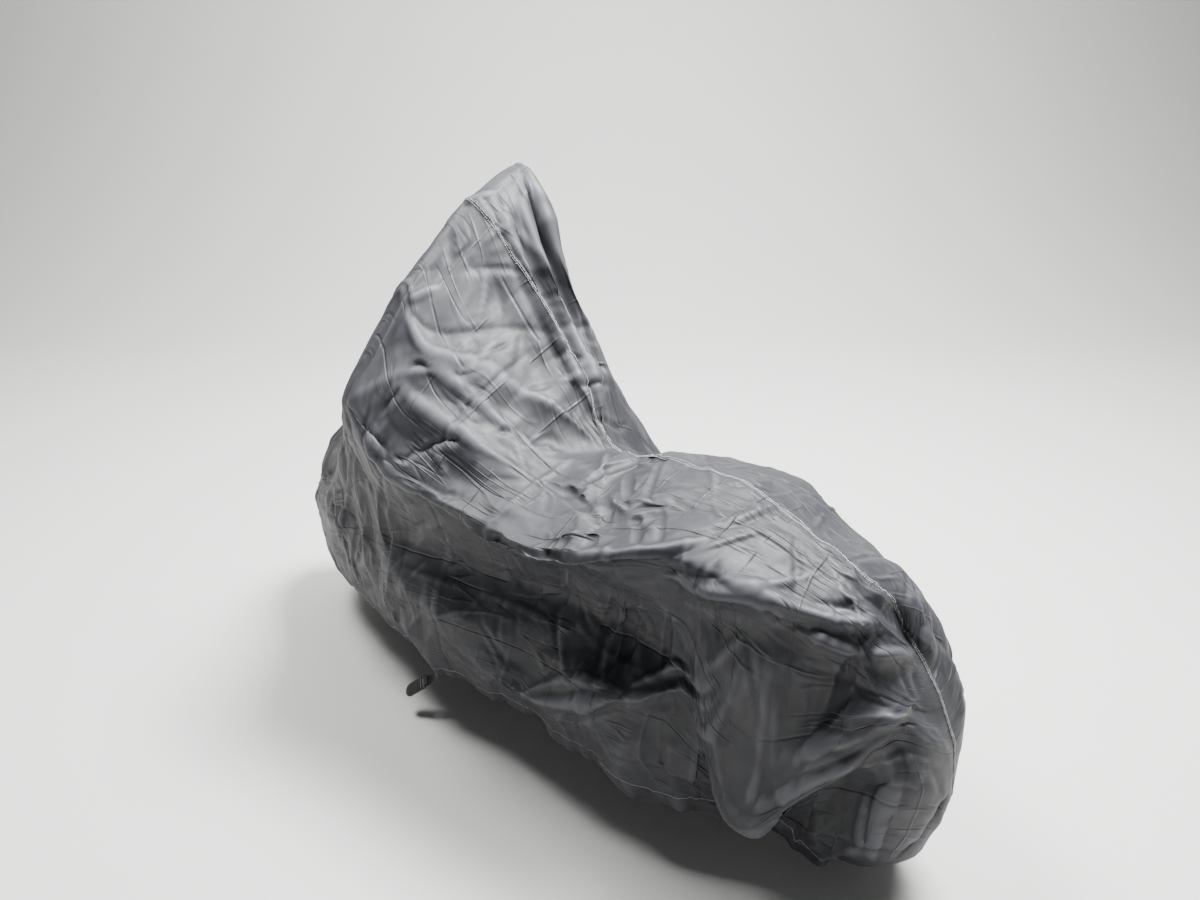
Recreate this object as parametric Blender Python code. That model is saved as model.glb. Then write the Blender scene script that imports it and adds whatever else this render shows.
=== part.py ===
"""Fitted outdoor cover for a two-wheeler, worn: two sewn halves, and the free end of the belly strap.

Metres, +Z up. -X is the front, -Y the left side. The tables give heights above the floor and lengths from
the middle of the span; everything is then moved so that the saddle rest inside the cover is the origin.
"""
import math
from collections import namedtuple

import bmesh
import bpy
import numpy as np
from mathutils import Matrix, Vector

# Driving dimensions
CLOTH = 0.0025          # thickness of the sheet, seam allowances and coating included
SEAM_GAP = 0.0003       # clear space between pieces that meet
CELL_ALONG = 0.036      # length of one facet of the cloth, front to rear
CELL_ACROSS = 0.0245    # and across the sections, where most folds lie side by side
REST_X = 0.25           # saddle rest, from the middle of the span
REST_Z = 0.735          # saddle rest, above the floor
SHARP = 0.35            # how round a section stays where it turns back, 0 a corner and 1 a full curve

# Elastic hem: the edge ripples where the elastic gathers it
GATHER_DEPTH = 0.006
GATHER_PITCH = 0.135
GATHER_DRIFT = 0.47
GATHER_UNEVEN = 1.4     # how much the ripples crowd and spread along the hem
GATHER_REACH = 1.2      # levels over which the ripple dies away

# Belly strap end
STRAP_X = -0.31         # where it leaves the left hem, from the middle of the span
STRAP_LENGTH = 0.046    # from the hem to the middle of the buckle's bar
STRAP_COURSE = (-0.66, -0.42, -0.62)
WEBBING_WIDTH = 0.025
WEBBING_THICK = 0.0016
WEBBING_RETURN = 0.012  # turned back round the bar and sewn to itself
WEBBING_STEPS = 8
BAR_RADIUS = 0.0021
BUCKLE_LENGTH = 0.062   # from the bar to the rounded end
BUCKLE_WIDTH = 0.034
BUCKLE_THICK = 0.008
BUCKLE_EDGE = 0.0014
SLOT_WIDTH = 0.027
SLOT_LENGTH = 0.0095    # from the middle of the bar to the body
LUG_REACH = 0.0035      # of the two arms past the middle of the bar
ROUND_STEPS = 12        # straight stretches in the rounded end of the buckle
BAR_SIDES = 16

# Finishes: linear colour and roughness
TAFFETA = ((0.055, 0.057, 0.063), 0.42)
WEBBING = ((0.012, 0.012, 0.013), 0.7)
ACETAL = ((0.010, 0.010, 0.011), 0.35)

# One row for each section, front to rear. The foot is on the hem, the head on the centre seam, and bulge
# pushes the middle of the section forward.
Spine = namedtuple("Spine", "name x_foot x_head bulge top_y top_z")
SPINE = (
    Spine("front seam",   -0.93, -0.89, 0.09, 0.00, 0.500),
    Spine("nose edge",    -0.91, -0.85, 0.07, 0.00, 0.570),
    Spine("nose side",    -0.84, -0.78, 0.03, 0.01, 0.670),
    Spine("front wheel",  -0.72, -0.69, 0.00, 0.02, 0.800),
    Spine("leg shield",   -0.60, -0.58, 0.00, 0.04, 0.960),
    Spine("bars",         -0.47, -0.46, 0.00, 0.07, 1.150),
    Spine("grip",         -0.34, -0.31, 0.00, 0.08, 1.010),
    Spine("swag",         -0.18, -0.15, 0.00, 0.07, 0.840),
    Spine("saddle front", -0.02, 0.01, 0.00, 0.03, 0.720),
    Spine("saddle",       0.16, 0.17, 0.00, 0.00, 0.745),
    Spine("saddle rear",  0.34, 0.33, 0.00, -0.01, 0.745),
    Spine("rack",         0.50, 0.47, 0.00, -0.03, 0.720),
    Spine("tail",         0.61, 0.60, -0.03, -0.06, 0.680),
    Spine("tail edge",    0.67, 0.65, -0.09, -0.025, 0.635),
    Spine("rear seam",    0.69, 0.66, -0.12, 0.00, 0.575),
)

# The two sides, a row for each section: distance from the centre plane and height of the hem, the belly,
# the tuck, the waist, the shoulder and the roof. At the rear left the waist is the lip of a big fold that
# hangs over the tuck behind it.
Side = namedtuple("Side", "hem_y hem_z belly_y belly_z tuck_y tuck_z waist_y waist_z "
                          "shoulder_y shoulder_z roof_y roof_z")
LEFT = (
    Side(0.00, 0.09, 0.00, 0.17, 0.00, 0.25, 0.00, 0.34, 0.00, 0.42, 0.00, 0.47),
    Side(0.05, 0.09, 0.08, 0.17, 0.09, 0.26, 0.09, 0.34, 0.07, 0.43, 0.04, 0.52),
    Side(0.09, 0.09, 0.14, 0.18, 0.16, 0.27, 0.16, 0.36, 0.14, 0.46, 0.08, 0.58),
    Side(0.13, 0.10, 0.19, 0.20, 0.21, 0.30, 0.21, 0.39, 0.19, 0.51, 0.12, 0.66),
    Side(0.16, 0.11, 0.23, 0.22, 0.25, 0.32, 0.25, 0.43, 0.23, 0.63, 0.13, 0.77),
    Side(0.19, 0.12, 0.26, 0.24, 0.27, 0.34, 0.27, 0.46, 0.28, 0.78, 0.12, 1.01),
    Side(0.22, 0.13, 0.28, 0.25, 0.275, 0.35, 0.24, 0.47, 0.31, 0.71, 0.19, 0.86),
    Side(0.24, 0.14, 0.28, 0.25, 0.27, 0.36, 0.215, 0.47, 0.30, 0.665, 0.19, 0.76),
    Side(0.24, 0.15, 0.28, 0.26, 0.255, 0.36, 0.20, 0.47, 0.305, 0.645, 0.17, 0.70),
    Side(0.25, 0.15, 0.27, 0.26, 0.255, 0.37, 0.20, 0.47, 0.275, 0.66, 0.15, 0.715),
    Side(0.23, 0.14, 0.26, 0.25, 0.24, 0.36, 0.195, 0.47, 0.23, 0.69, 0.13, 0.735),
    Side(0.13, 0.09, 0.14, 0.13, 0.15, 0.18, 0.22, 0.20, 0.20, 0.67, 0.11, 0.71),
    Side(0.09, 0.06, 0.13, 0.15, 0.14, 0.29, 0.19, 0.34, 0.16, 0.60, 0.11, 0.665),
    Side(0.05, 0.05, 0.10, 0.17, 0.10, 0.36, 0.13, 0.46, 0.12, 0.54, 0.08, 0.61),
    Side(0.00, 0.05, 0.00, 0.16, 0.00, 0.28, 0.00, 0.39, 0.00, 0.47, 0.00, 0.53),
)
RIGHT = (
    Side(0.00, 0.09, 0.00, 0.17, 0.00, 0.25, 0.00, 0.34, 0.00, 0.42, 0.00, 0.47),
    Side(0.05, 0.09, 0.08, 0.17, 0.09, 0.26, 0.09, 0.34, 0.08, 0.43, 0.04, 0.52),
    Side(0.09, 0.09, 0.14, 0.18, 0.16, 0.27, 0.16, 0.36, 0.15, 0.50, 0.09, 0.62),
    Side(0.13, 0.10, 0.19, 0.20, 0.22, 0.30, 0.22, 0.41, 0.21, 0.60, 0.14, 0.74),
    Side(0.16, 0.11, 0.23, 0.22, 0.26, 0.32, 0.27, 0.46, 0.26, 0.74, 0.18, 0.93),
    Side(0.19, 0.12, 0.26, 0.24, 0.28, 0.34, 0.29, 0.50, 0.30, 0.86, 0.24, 1.215),
    Side(0.22, 0.13, 0.28, 0.25, 0.28, 0.35, 0.28, 0.50, 0.31, 0.74, 0.21, 1.02),
    Side(0.24, 0.14, 0.28, 0.25, 0.28, 0.36, 0.26, 0.47, 0.30, 0.63, 0.18, 0.79),
    Side(0.24, 0.15, 0.28, 0.26, 0.27, 0.36, 0.24, 0.47, 0.29, 0.56, 0.15, 0.62),
    Side(0.25, 0.15, 0.27, 0.26, 0.27, 0.37, 0.24, 0.47, 0.27, 0.62, 0.15, 0.695),
    Side(0.23, 0.14, 0.26, 0.25, 0.25, 0.36, 0.22, 0.47, 0.23, 0.64, 0.13, 0.70),
    Side(0.17, 0.10, 0.22, 0.20, 0.22, 0.32, 0.20, 0.45, 0.18, 0.61, 0.11, 0.665),
    Side(0.12, 0.07, 0.17, 0.17, 0.18, 0.30, 0.17, 0.42, 0.15, 0.55, 0.08, 0.635),
    Side(0.06, 0.05, 0.11, 0.16, 0.12, 0.29, 0.12, 0.40, 0.10, 0.51, 0.05, 0.59),
    Side(0.00, 0.05, 0.00, 0.16, 0.00, 0.28, 0.00, 0.39, 0.00, 0.47, 0.00, 0.53),
)
LEVELS = 7              # hem, belly, tuck, waist, shoulder, roof, seam
SEAM_LEVEL = LEVELS - 1

# The main folds. Each runs from its start past its middle to its end, given as (section, level), where
# level 0 is the left hem, 6 the centre seam and 12 the right hem. A rise below zero is a trough.
Fold = namedtuple("Fold", "name start middle end rise half_width")
FOLDS = (
    # handlebar tower, the side that faces the saddle
    Fold("peak ridge",          (5.2, 6.3), (6.5, 6.06), (7.9, 5.84), 0.059, 0.082),
    Fold("peak trough",         (5.35, 6.42), (6.6, 6.2), (7.8, 5.98), -0.033, 0.057),
    Fold("second ridge",        (5.4, 6.58), (6.5, 6.45), (7.9, 6.02), 0.045, 0.062),
    Fold("second trough",       (5.3, 6.72), (6.3, 6.66), (7.7, 6.3), -0.031, 0.057),
    Fold("third ridge",         (5.1, 6.9), (6.1, 6.85), (7.1, 7.15), 0.035, 0.062),
    Fold("face hollow",         (5.6, 5.75), (6.4, 5.7), (7.4, 5.7), -0.026, 0.122),
    Fold("face crease",         (5.2, 4.85), (6.2, 5.48), (6.9, 6.05), -0.019, 0.054),
    Fold("upper drag ridge",    (5.2, 4.8), (6.6, 5.38), (8.1, 5.84), 0.047, 0.074),
    Fold("upper drag shadow",   (5.5, 4.8), (6.8, 5.27), (7.8, 5.58), -0.028, 0.060),
    Fold("middle drag ridge",   (5.7, 5.0), (6.7, 5.2), (7.8, 5.38), 0.042, 0.067),
    Fold("middle drag shadow",  (5.9, 4.9), (6.8, 5.04), (7.7, 5.15), -0.031, 0.060),
    Fold("lower drag ridge",    (5.6, 4.6), (6.7, 4.74), (7.9, 5.02), 0.040, 0.072),
    Fold("lower drag shadow",   (5.6, 4.35), (6.7, 4.42), (7.8, 4.65), -0.033, 0.072),
    Fold("corner kink",         (4.9, 3.9), (5.5, 4.4), (6.1, 5.1), 0.035, 0.067),
    # front left edge
    Fold("front edge ridge",    (5.1, 3.8), (3.6, 3.7), (2.7, 2.2), 0.031, 0.077),
    Fold("front edge trough",   (4.6, 3.6), (3.9, 2.9), (3.4, 1.8), -0.026, 0.077),
    Fold("front seam ridge",    (4.4, 3.9), (2.9, 4.4), (1.6, 4.0), 0.024, 0.087),
    Fold("front bundle",        (6.0, 3.9), (5.3, 3.1), (5.2, 1.9), 0.021, 0.067),
    # saddle
    Fold("saddle front tuck",   (7.4, 5.3), (7.9, 5.75), (8.2, 6.7), -0.035, 0.062),
    Fold("saddle front roll",   (7.7, 4.9), (8.3, 5.5), (8.6, 6.3), 0.024, 0.072),
    Fold("saddle fold",         (8.2, 5.6), (8.6, 5.9), (9.2, 6.15), -0.017, 0.054),
    Fold("saddle crease",       (8.4, 4.7), (8.9, 5.2), (9.6, 5.4), -0.017, 0.054),
    Fold("saddle edge",         (5.9, 3.9), (8.5, 3.86), (10.1, 4.2), 0.040, 0.072),
    Fold("rear saddle edge",    (9.5, 4.0), (10.35, 4.62), (11.3, 5.9), 0.040, 0.072),
    Fold("rear saddle ridge",   (10.9, 5.8), (11.6, 5.95), (12.3, 5.4), 0.021, 0.072),
    # left side
    Fold("under-saddle hollow", (6.6, 3.3), (8.4, 3.35), (9.8, 3.5), -0.028, 0.132),
    Fold("facet shadow",        (9.4, 3.7), (10.35, 4.3), (11.1, 5.5), -0.031, 0.067),
    Fold("side facet",          (9.9, 3.8), (11.0, 4.6), (12.1, 5.0), 0.017, 0.122),
    Fold("side facet edge",     (9.7, 3.7), (11.2, 4.05), (12.9, 5.1), 0.042, 0.064),
    Fold("edge shadow",         (9.9, 3.5), (11.1, 3.76), (12.1, 4.1), -0.040, 0.070),
    Fold("front pleat",         (9.25, 3.5), (9.28, 2.8), (9.29, 2.0), 0.024, 0.054),
    Fold("middle pleat",        (9.55, 3.5), (9.55, 2.9), (9.52, 2.2), 0.021, 0.054),
    Fold("rear pleat",          (9.99, 3.5), (9.96, 3.1), (9.94, 2.6), 0.021, 0.054),
    Fold("belly ridge",         (7.2, 0.7), (9.2, 1.65), (11.0, 3.7), 0.047, 0.072),
    Fold("belly front",         (5.7, 2.4), (6.8, 1.7), (8.2, 1.3), 0.028, 0.092),
    Fold("belly hollow",        (7.6, 1.9), (9.0, 2.5), (10.3, 3.4), -0.028, 0.097),
    Fold("skirt ridge",         (9.7, 1.8), (9.6, 1.2), (9.5, 0.3), 0.019, 0.057),
    Fold("skirt kink",          (10.2, 2.2), (10.35, 1.5), (10.1, 0.4), 0.019, 0.057),
    Fold("skirt trough",        (9.2, 1.2), (9.1, 0.7), (9.1, 0.1), -0.019, 0.062),
    # tail and wheel bag
    Fold("tail step",           (11.5, 3.9), (12.5, 4.37), (13.6, 4.95), 0.035, 0.057),
    Fold("tail step shadow",    (11.7, 3.75), (12.6, 4.15), (13.5, 4.6), -0.031, 0.062),
    Fold("tail corner",         (12.7, 6.1), (12.3, 5.5), (11.85, 4.3), 0.031, 0.067),
    Fold("lip",                 (11.2, 3.17), (12.5, 3.13), (13.5, 3.8), 0.026, 0.057),
    Fold("lip shadow",          (11.3, 2.75), (12.5, 2.7), (13.4, 3.2), -0.035, 0.072),
    Fold("lip fold",            (11.6, 3.36), (12.6, 3.4), (13.6, 4.15), 0.028, 0.054),
    Fold("lip valley",          (12.6, 4.25), (12.08, 3.62), (11.4, 3.4), -0.031, 0.062),
    Fold("bag ridge",           (13.35, 2.95), (13.3, 2.2), (13.3, 1.3), 0.024, 0.057),
    Fold("bag trough",          (12.7, 2.6), (12.45, 1.9), (12.6, 1.1), -0.024, 0.062),
    # right side
    Fold("right peak fall",     (5.0, 7.2), (5.3, 8.6), (5.6, 10.3), 0.035, 0.092),
    Fold("right front drag",    (4.9, 7.4), (4.1, 8.7), (3.4, 10.2), 0.035, 0.087),
    Fold("right saddle drag",   (5.3, 7.4), (6.7, 8.2), (8.2, 8.7), 0.040, 0.087),
    Fold("right drag trough",   (5.7, 7.9), (6.9, 8.5), (8.0, 9.0), -0.028, 0.077),
    Fold("right lower drag",    (5.6, 8.3), (6.8, 8.9), (8.4, 9.3), 0.031, 0.082),
    Fold("right hollow",        (6.8, 9.2), (8.4, 9.0), (10.0, 8.9), -0.031, 0.122),
    Fold("right saddle edge",   (8.3, 8.1), (9.4, 8.0), (10.8, 7.8), 0.026, 0.077),
    Fold("right belly ridge",   (5.8, 9.8), (8.2, 10.5), (11.0, 10.0), 0.033, 0.097),
    Fold("right tail drag",     (10.3, 7.8), (11.6, 8.6), (13.0, 9.2), 0.033, 0.077),
    Fold("right tail trough",   (10.4, 8.4), (11.6, 9.2), (12.7, 9.9), -0.026, 0.077),
    Fold("right front pleat",   (3.0, 7.8), (2.6, 9.0), (2.4, 10.6), 0.026, 0.077),
    Fold("right shield pleat",  (4.4, 8.8), (4.2, 9.8), (4.1, 11.2), -0.026, 0.082),
    # front, over the wheel
    Fold("nose ridge",          (4.6, 6.5), (2.8, 6.9), (1.1, 7.4), 0.031, 0.082),
    Fold("nose drag",           (4.7, 5.5), (3.0, 5.5), (1.4, 4.8), 0.031, 0.082),
    Fold("nose trough",         (4.2, 6.0), (2.8, 5.9), (1.4, 5.7), -0.021, 0.077),
)
FOLD_STEPS = 20         # stretches in which the line of a fold is followed
FOLD_FADE = 0.3         # share of its length over which a fold rises and widens at each end
FOLD_TIP = 0.4          # width of a fold at its ends, as a share of its full width
FOLD_CREST = 1.6        # 1 gives a fold straight flanks, 2 flanks that curve out to its foot
FOLD_ROUND = 0.010      # how far its crest is rounded off
EVEN = 5                # how much a point counts against a neighbour where the folds are evened out


# ---------------------------------------------------------------- shape of the worn cloth
def ease_through(points, places):
    """Read a smooth curve through evenly numbered points at the given places, without overshoot."""
    points = np.asarray(points, float)
    places = np.clip(np.asarray(places, float), 0, len(points) - 1)
    low = np.minimum(places.astype(int), len(points) - 2)
    f = (places - low).reshape((-1,) + (1,) * (points.ndim - 1))
    steps = np.diff(points, axis=0)
    before = np.concatenate([steps[:1], steps])
    after = np.concatenate([steps, steps[-1:]])
    mean = 0.5 * (before + after)
    limit = 2 * np.minimum(np.abs(before), np.abs(after))
    slope = np.where(before * after < 0, SHARP * mean, np.clip(mean, -limit, limit))
    return ((2 * f**3 - 3 * f**2 + 1) * points[low] + (f**3 - 2 * f**2 + f) * slope[low]
            + (3 * f**2 - 2 * f**3) * points[low + 1] + (f**3 - f**2) * slope[low + 1])


def section_points(spine, side, sign):
    """Points of one half section from its hem to the centre seam."""
    outs = [sign * out for out in side[0::2]] + [spine.top_y]
    heights = list(side[1::2]) + [spine.top_z]
    points = []
    for out, height in zip(outs, heights):
        t = (height - heights[0]) / (heights[-1] - heights[0])
        x = spine.x_foot + (spine.x_head - spine.x_foot) * t - spine.bulge * 4 * t * (1 - t)
        points.append((x - REST_X, out, height - REST_Z))
    return points


def control_net():
    """All section points, from the left hem over the seam to the right hem."""
    rows = []
    for spine, left, right in zip(SPINE, LEFT, RIGHT):
        rows.append(section_points(spine, left, -1) + section_points(spine, right, 1)[-2::-1])
    return np.array(rows)


def cloth_at(net, sections, levels):
    """Points of the smooth cloth on the grid of the given sections and levels.

    Past each end seam the first section of the other side carries on, which rounds the nose and the tail.
    """
    past_ends = np.concatenate([net[1:2, ::-1], net, net[-2:-1, ::-1]])
    across = ease_through(past_ends, np.asarray(sections) + 1)
    return np.swapaxes(ease_through(np.swapaxes(across, 0, 1), levels), 0, 1)


def fold_line(net, fold):
    """The line on the smooth cloth that a fold follows."""
    turns = ease_through([fold.start, fold.middle, fold.end], np.linspace(0, 2, FOLD_STEPS + 1))
    return np.array([cloth_at(net, [section], [level])[0, 0] for section, level in turns])


def even_out(lift):
    """Average each point's lift with its neighbours', so that the facets carry a fold without jags.

    Past each end seam lies the first row of the other side, so both halves of the seam are lifted alike.
    """
    lift = np.concatenate([lift[1:2, ::-1], lift, lift[-2:-1, ::-1]])
    lift = (lift[:-2] + EVEN * lift[1:-1] + lift[2:]) / (EVEN + 2)
    lift = np.concatenate([lift[:, :1], lift, lift[:, -1:]], axis=1)
    return (lift[:, :-2] + EVEN * lift[:, 1:-1] + lift[:, 2:]) / (EVEN + 2)


def lift_folds(net, cloth, normals):
    """Raise each ridge and sink each trough along the cloth's normals."""
    lift = np.zeros(cloth.shape[:2])
    for fold in FOLDS:
        line = fold_line(net, fold)
        nearest = np.full(cloth.shape[:2], np.inf)
        along = np.zeros(cloth.shape[:2])
        for k in range(FOLD_STEPS):
            run = line[k + 1] - line[k]
            share = np.clip(((cloth - line[k]) @ run) / max(run @ run, 1e-12), 0, 1)
            distance = np.linalg.norm(cloth - line[k] - share[..., None] * run, axis=-1)
            closer = distance < nearest
            nearest = np.where(closer, distance, nearest)
            along = np.where(closer, (k + share) / FOLD_STEPS, along)
        fade = np.clip(np.minimum(along, 1 - along) / FOLD_FADE, 0, 1)
        width = fold.half_width * (FOLD_TIP + (1 - FOLD_TIP) * fade)
        away = (np.hypot(nearest, FOLD_ROUND) - FOLD_ROUND) / width
        lift += fold.rise * fade * np.clip(1 - away, 0, 1)**FOLD_CREST
    return cloth + even_out(lift)[..., None] * normals


def cloth_normals(cloth):
    """Outward unit normals of the grid, with the halves joined where they share the end seams."""
    face = np.cross(cloth[1:, 1:] - cloth[:-1, :-1], cloth[:-1, 1:] - cloth[1:, :-1])
    normals = np.zeros_like(cloth)
    for rows in (slice(None, -1), slice(1, None)):
        for columns in (slice(None, -1), slice(1, None)):
            normals[rows, columns] += face
    for end in (0, -1):
        normals[end] = normals[end] + normals[end, ::-1]
    return normals / np.linalg.norm(normals, axis=-1, keepdims=True)


def gather_hem(cloth, normals, levels):
    """Ripple both hems as their elastic gathers them."""
    rippled = cloth.copy()
    top = 2 * SEAM_LEVEL
    for hem, reach in ((0, levels / GATHER_REACH), (-1, (top - levels) / GATHER_REACH)):
        runs = np.linalg.norm(np.diff(cloth[:, hem], axis=0), axis=-1)
        length = np.concatenate([[0], np.cumsum(runs)])
        wave = np.sin(2 * math.pi * length / GATHER_PITCH
                      + GATHER_UNEVEN * np.sin(2 * math.pi * length / GATHER_DRIFT))
        ends = np.clip(np.minimum(length, length[-1] - length) / GATHER_PITCH, 0, 1)
        depth = GATHER_DEPTH * (wave * ends)[:, None] * np.clip(1 - reach, 0, 1)[None, :]
        rippled += depth[..., None] * normals
    return rippled


def even_places(net, axis, cell):
    """Places along one axis of the net that cut the cloth into cells of about the same length."""
    runs = np.linalg.norm(np.diff(net, axis=axis), axis=-1).mean(axis=1 - axis)
    places = [0.0]
    for k, run in enumerate(runs):
        count = max(2, round(run / cell))
        places += [k + (i + 1) / count for i in range(count)]
    return np.array(places)


def worn_cloth():
    """Outer face of the cloth as a grid, with its normals and the level of each column."""
    net = control_net()
    sections = even_places(net, 0, CELL_ALONG)
    half = even_places(net[:, :LEVELS], 1, CELL_ACROSS)
    levels = np.concatenate([half, 2 * SEAM_LEVEL - half[-2::-1]])
    cloth = cloth_at(net, sections, levels)
    cloth = lift_folds(net, cloth, cloth_normals(cloth))
    cloth = gather_hem(cloth, cloth_normals(cloth), levels)
    return cloth, cloth_normals(cloth), len(half) - 1


# ---------------------------------------------------------------- Blender objects
def clear_scene():
    for old in list(bpy.data.objects):
        bpy.data.objects.remove(old, do_unlink=True)


def make_material(name, colour, roughness):
    material = bpy.data.materials.new(name)
    material.use_nodes = True
    shader = material.node_tree.nodes["Principled BSDF"]
    shader.inputs["Base Color"].default_value = (*colour, 1.0)
    shader.inputs["Roughness"].default_value = roughness
    shader.inputs["Metallic"].default_value = 0.0
    return material


def add_object(name, mesh, material):
    piece = bpy.data.objects.new(name, mesh)
    mesh.materials.append(material)
    bpy.context.collection.objects.link(piece)
    return piece


def seam_parting(outer, normals, column, side):
    """How far each point of the outline moves back from the centre seam, to leave the seam gap."""
    parting = np.zeros_like(outer)
    seams = ((slice(None), column), (0, slice(None)), (-1, slice(None)))
    away = np.array((0.0, side, 0.0))
    for seam in seams:
        points = outer[seam]
        run = np.gradient(points, axis=0)
        run /= np.linalg.norm(run, axis=-1, keepdims=True)
        across = np.cross(run, normals[seam])
        across *= np.sign(across @ away)[:, None]
        parting[seam] = across / np.linalg.norm(across, axis=-1, keepdims=True) * SEAM_GAP / 2
    return parting


def build_panel(name, outer, normals, column, side, material):
    """One half of the cover as a closed sheet: its outer face, its inner face and the edge between."""
    outer = outer + seam_parting(outer, normals, column, side)
    inner = outer - CLOTH * normals
    rows, columns = outer.shape[:2]
    work = bmesh.new()
    shells = []
    for layer in (outer, inner):
        shells.append([[work.verts.new(point) for point in row] for row in layer])
    top, under = shells
    for i in range(rows - 1):
        for j in range(columns - 1):
            work.faces.new((top[i][j], top[i + 1][j], top[i + 1][j + 1], top[i][j + 1]))
            work.faces.new((under[i][j], under[i][j + 1], under[i + 1][j + 1], under[i + 1][j]))
    rim = [(i, 0) for i in range(rows)] + [(rows - 1, j) for j in range(1, columns)]
    rim += [(i, columns - 1) for i in range(rows - 2, -1, -1)] + [(0, j) for j in range(columns - 2, 0, -1)]
    for (i, j), (k, m) in zip(rim, rim[1:] + rim[:1]):
        work.faces.new((top[i][j], under[i][j], under[k][m], top[k][m]))
    bmesh.ops.triangulate(work, faces=work.faces[:])
    mesh = bpy.data.meshes.new(name)
    work.to_mesh(mesh)
    work.free()
    mesh.shade_smooth()
    return add_object(name, mesh, material)


def strap_course(cloth, normals):
    """Middle line and width directions of the webbing, and the frame of the buckle's bar."""
    hem = cloth[:, 0]
    i = int(np.argmin(np.abs(hem[:, 0] + REST_X - STRAP_X)))
    along_hem = Vector(hem[i + 1] - hem[i]).normalized()
    down = Vector(hem[i] - cloth[i, 1] + hem[i + 1] - cloth[i + 1, 1])
    down = (down - down.project(along_hem)).normalized()
    outward = Vector(normals[i, 0] + normals[i + 1, 0]).normalized()
    start = Vector((hem[i] + hem[i + 1]) / 2) - outward * CLOTH / 2 + down * SEAM_GAP
    course = Vector(STRAP_COURSE).normalized()
    width = (along_hem - along_hem.project(course)).normalized()
    face = width.cross(course)
    bar = start + course * STRAP_LENGTH
    lift = BAR_RADIUS + SEAM_GAP + WEBBING_THICK / 2
    landing = bar - course * WEBBING_RETURN + face * lift
    points = []
    widths = []
    hold = (landing - start).length
    for k in range(WEBBING_STEPS + 1):
        t = k / WEBBING_STEPS
        point = (start * (2 * t**3 - 3 * t**2 + 1) + down * hold * (t**3 - 2 * t**2 + t)
                 + landing * (3 * t**2 - 2 * t**3) + course * hold * (t**3 - t**2))
        points.append(point)
        widths.append(along_hem.lerp(width, 3 * t**2 - 2 * t**3).normalized())
    for k in range(WEBBING_STEPS + 1):
        turn = math.pi * k / WEBBING_STEPS
        points.append(bar + face * lift * math.cos(turn) + course * lift * math.sin(turn))
        widths.append(width)
    points.append(landing - face * 2 * lift)
    widths.append(width)
    points[1] = start + down * (points[1] - start).length
    return points, widths, Matrix((course, width, face)).transposed().to_4x4(), bar


def build_webbing(points, widths, material):
    """The sewn-on webbing: a flat band swept along its course and closed at both ends."""
    work = bmesh.new()
    rings = []
    for k, (point, width) in enumerate(zip(points, widths)):
        run = points[min(k + 1, len(points) - 1)] - points[max(k - 1, 0)]
        across = (width - width.project(run)).normalized()
        thick = across.cross(run).normalized()
        corners = ((1, 1), (-1, 1), (-1, -1), (1, -1))
        rings.append([work.verts.new(point + across * a * WEBBING_WIDTH / 2 + thick * b * WEBBING_THICK / 2)
                      for a, b in corners])
    for one, two in zip(rings, rings[1:]):
        for k in range(4):
            work.faces.new((one[k], one[(k + 1) % 4], two[(k + 1) % 4], two[k]))
    work.faces.new(rings[0][::-1])
    work.faces.new(rings[-1])
    bmesh.ops.recalc_face_normals(work, faces=work.faces)
    mesh = bpy.data.meshes.new("strap_webbing")
    work.to_mesh(mesh)
    work.free()
    return add_object("strap_webbing", mesh, material)


def make_guide(name, mesh, frame):
    """A hidden shape that cuts or adds to the buckle."""
    guide = bpy.data.objects.new(name, mesh)
    guide.matrix_world = frame
    guide.hide_render = True
    guide.display_type = "WIRE"
    bpy.context.collection.objects.link(guide)
    return guide


def buckle_outline():
    """Outline of the buckle: square arms at the bar, and a round free end."""
    half = BUCKLE_WIDTH / 2
    outline = [(-LUG_REACH, half), (-LUG_REACH, -half)]
    for k in range(ROUND_STEPS + 1):
        turn = math.pi * (k / ROUND_STEPS - 0.5)
        outline.append((BUCKLE_LENGTH - half + half * math.cos(turn), half * math.sin(turn)))
    return outline


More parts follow.
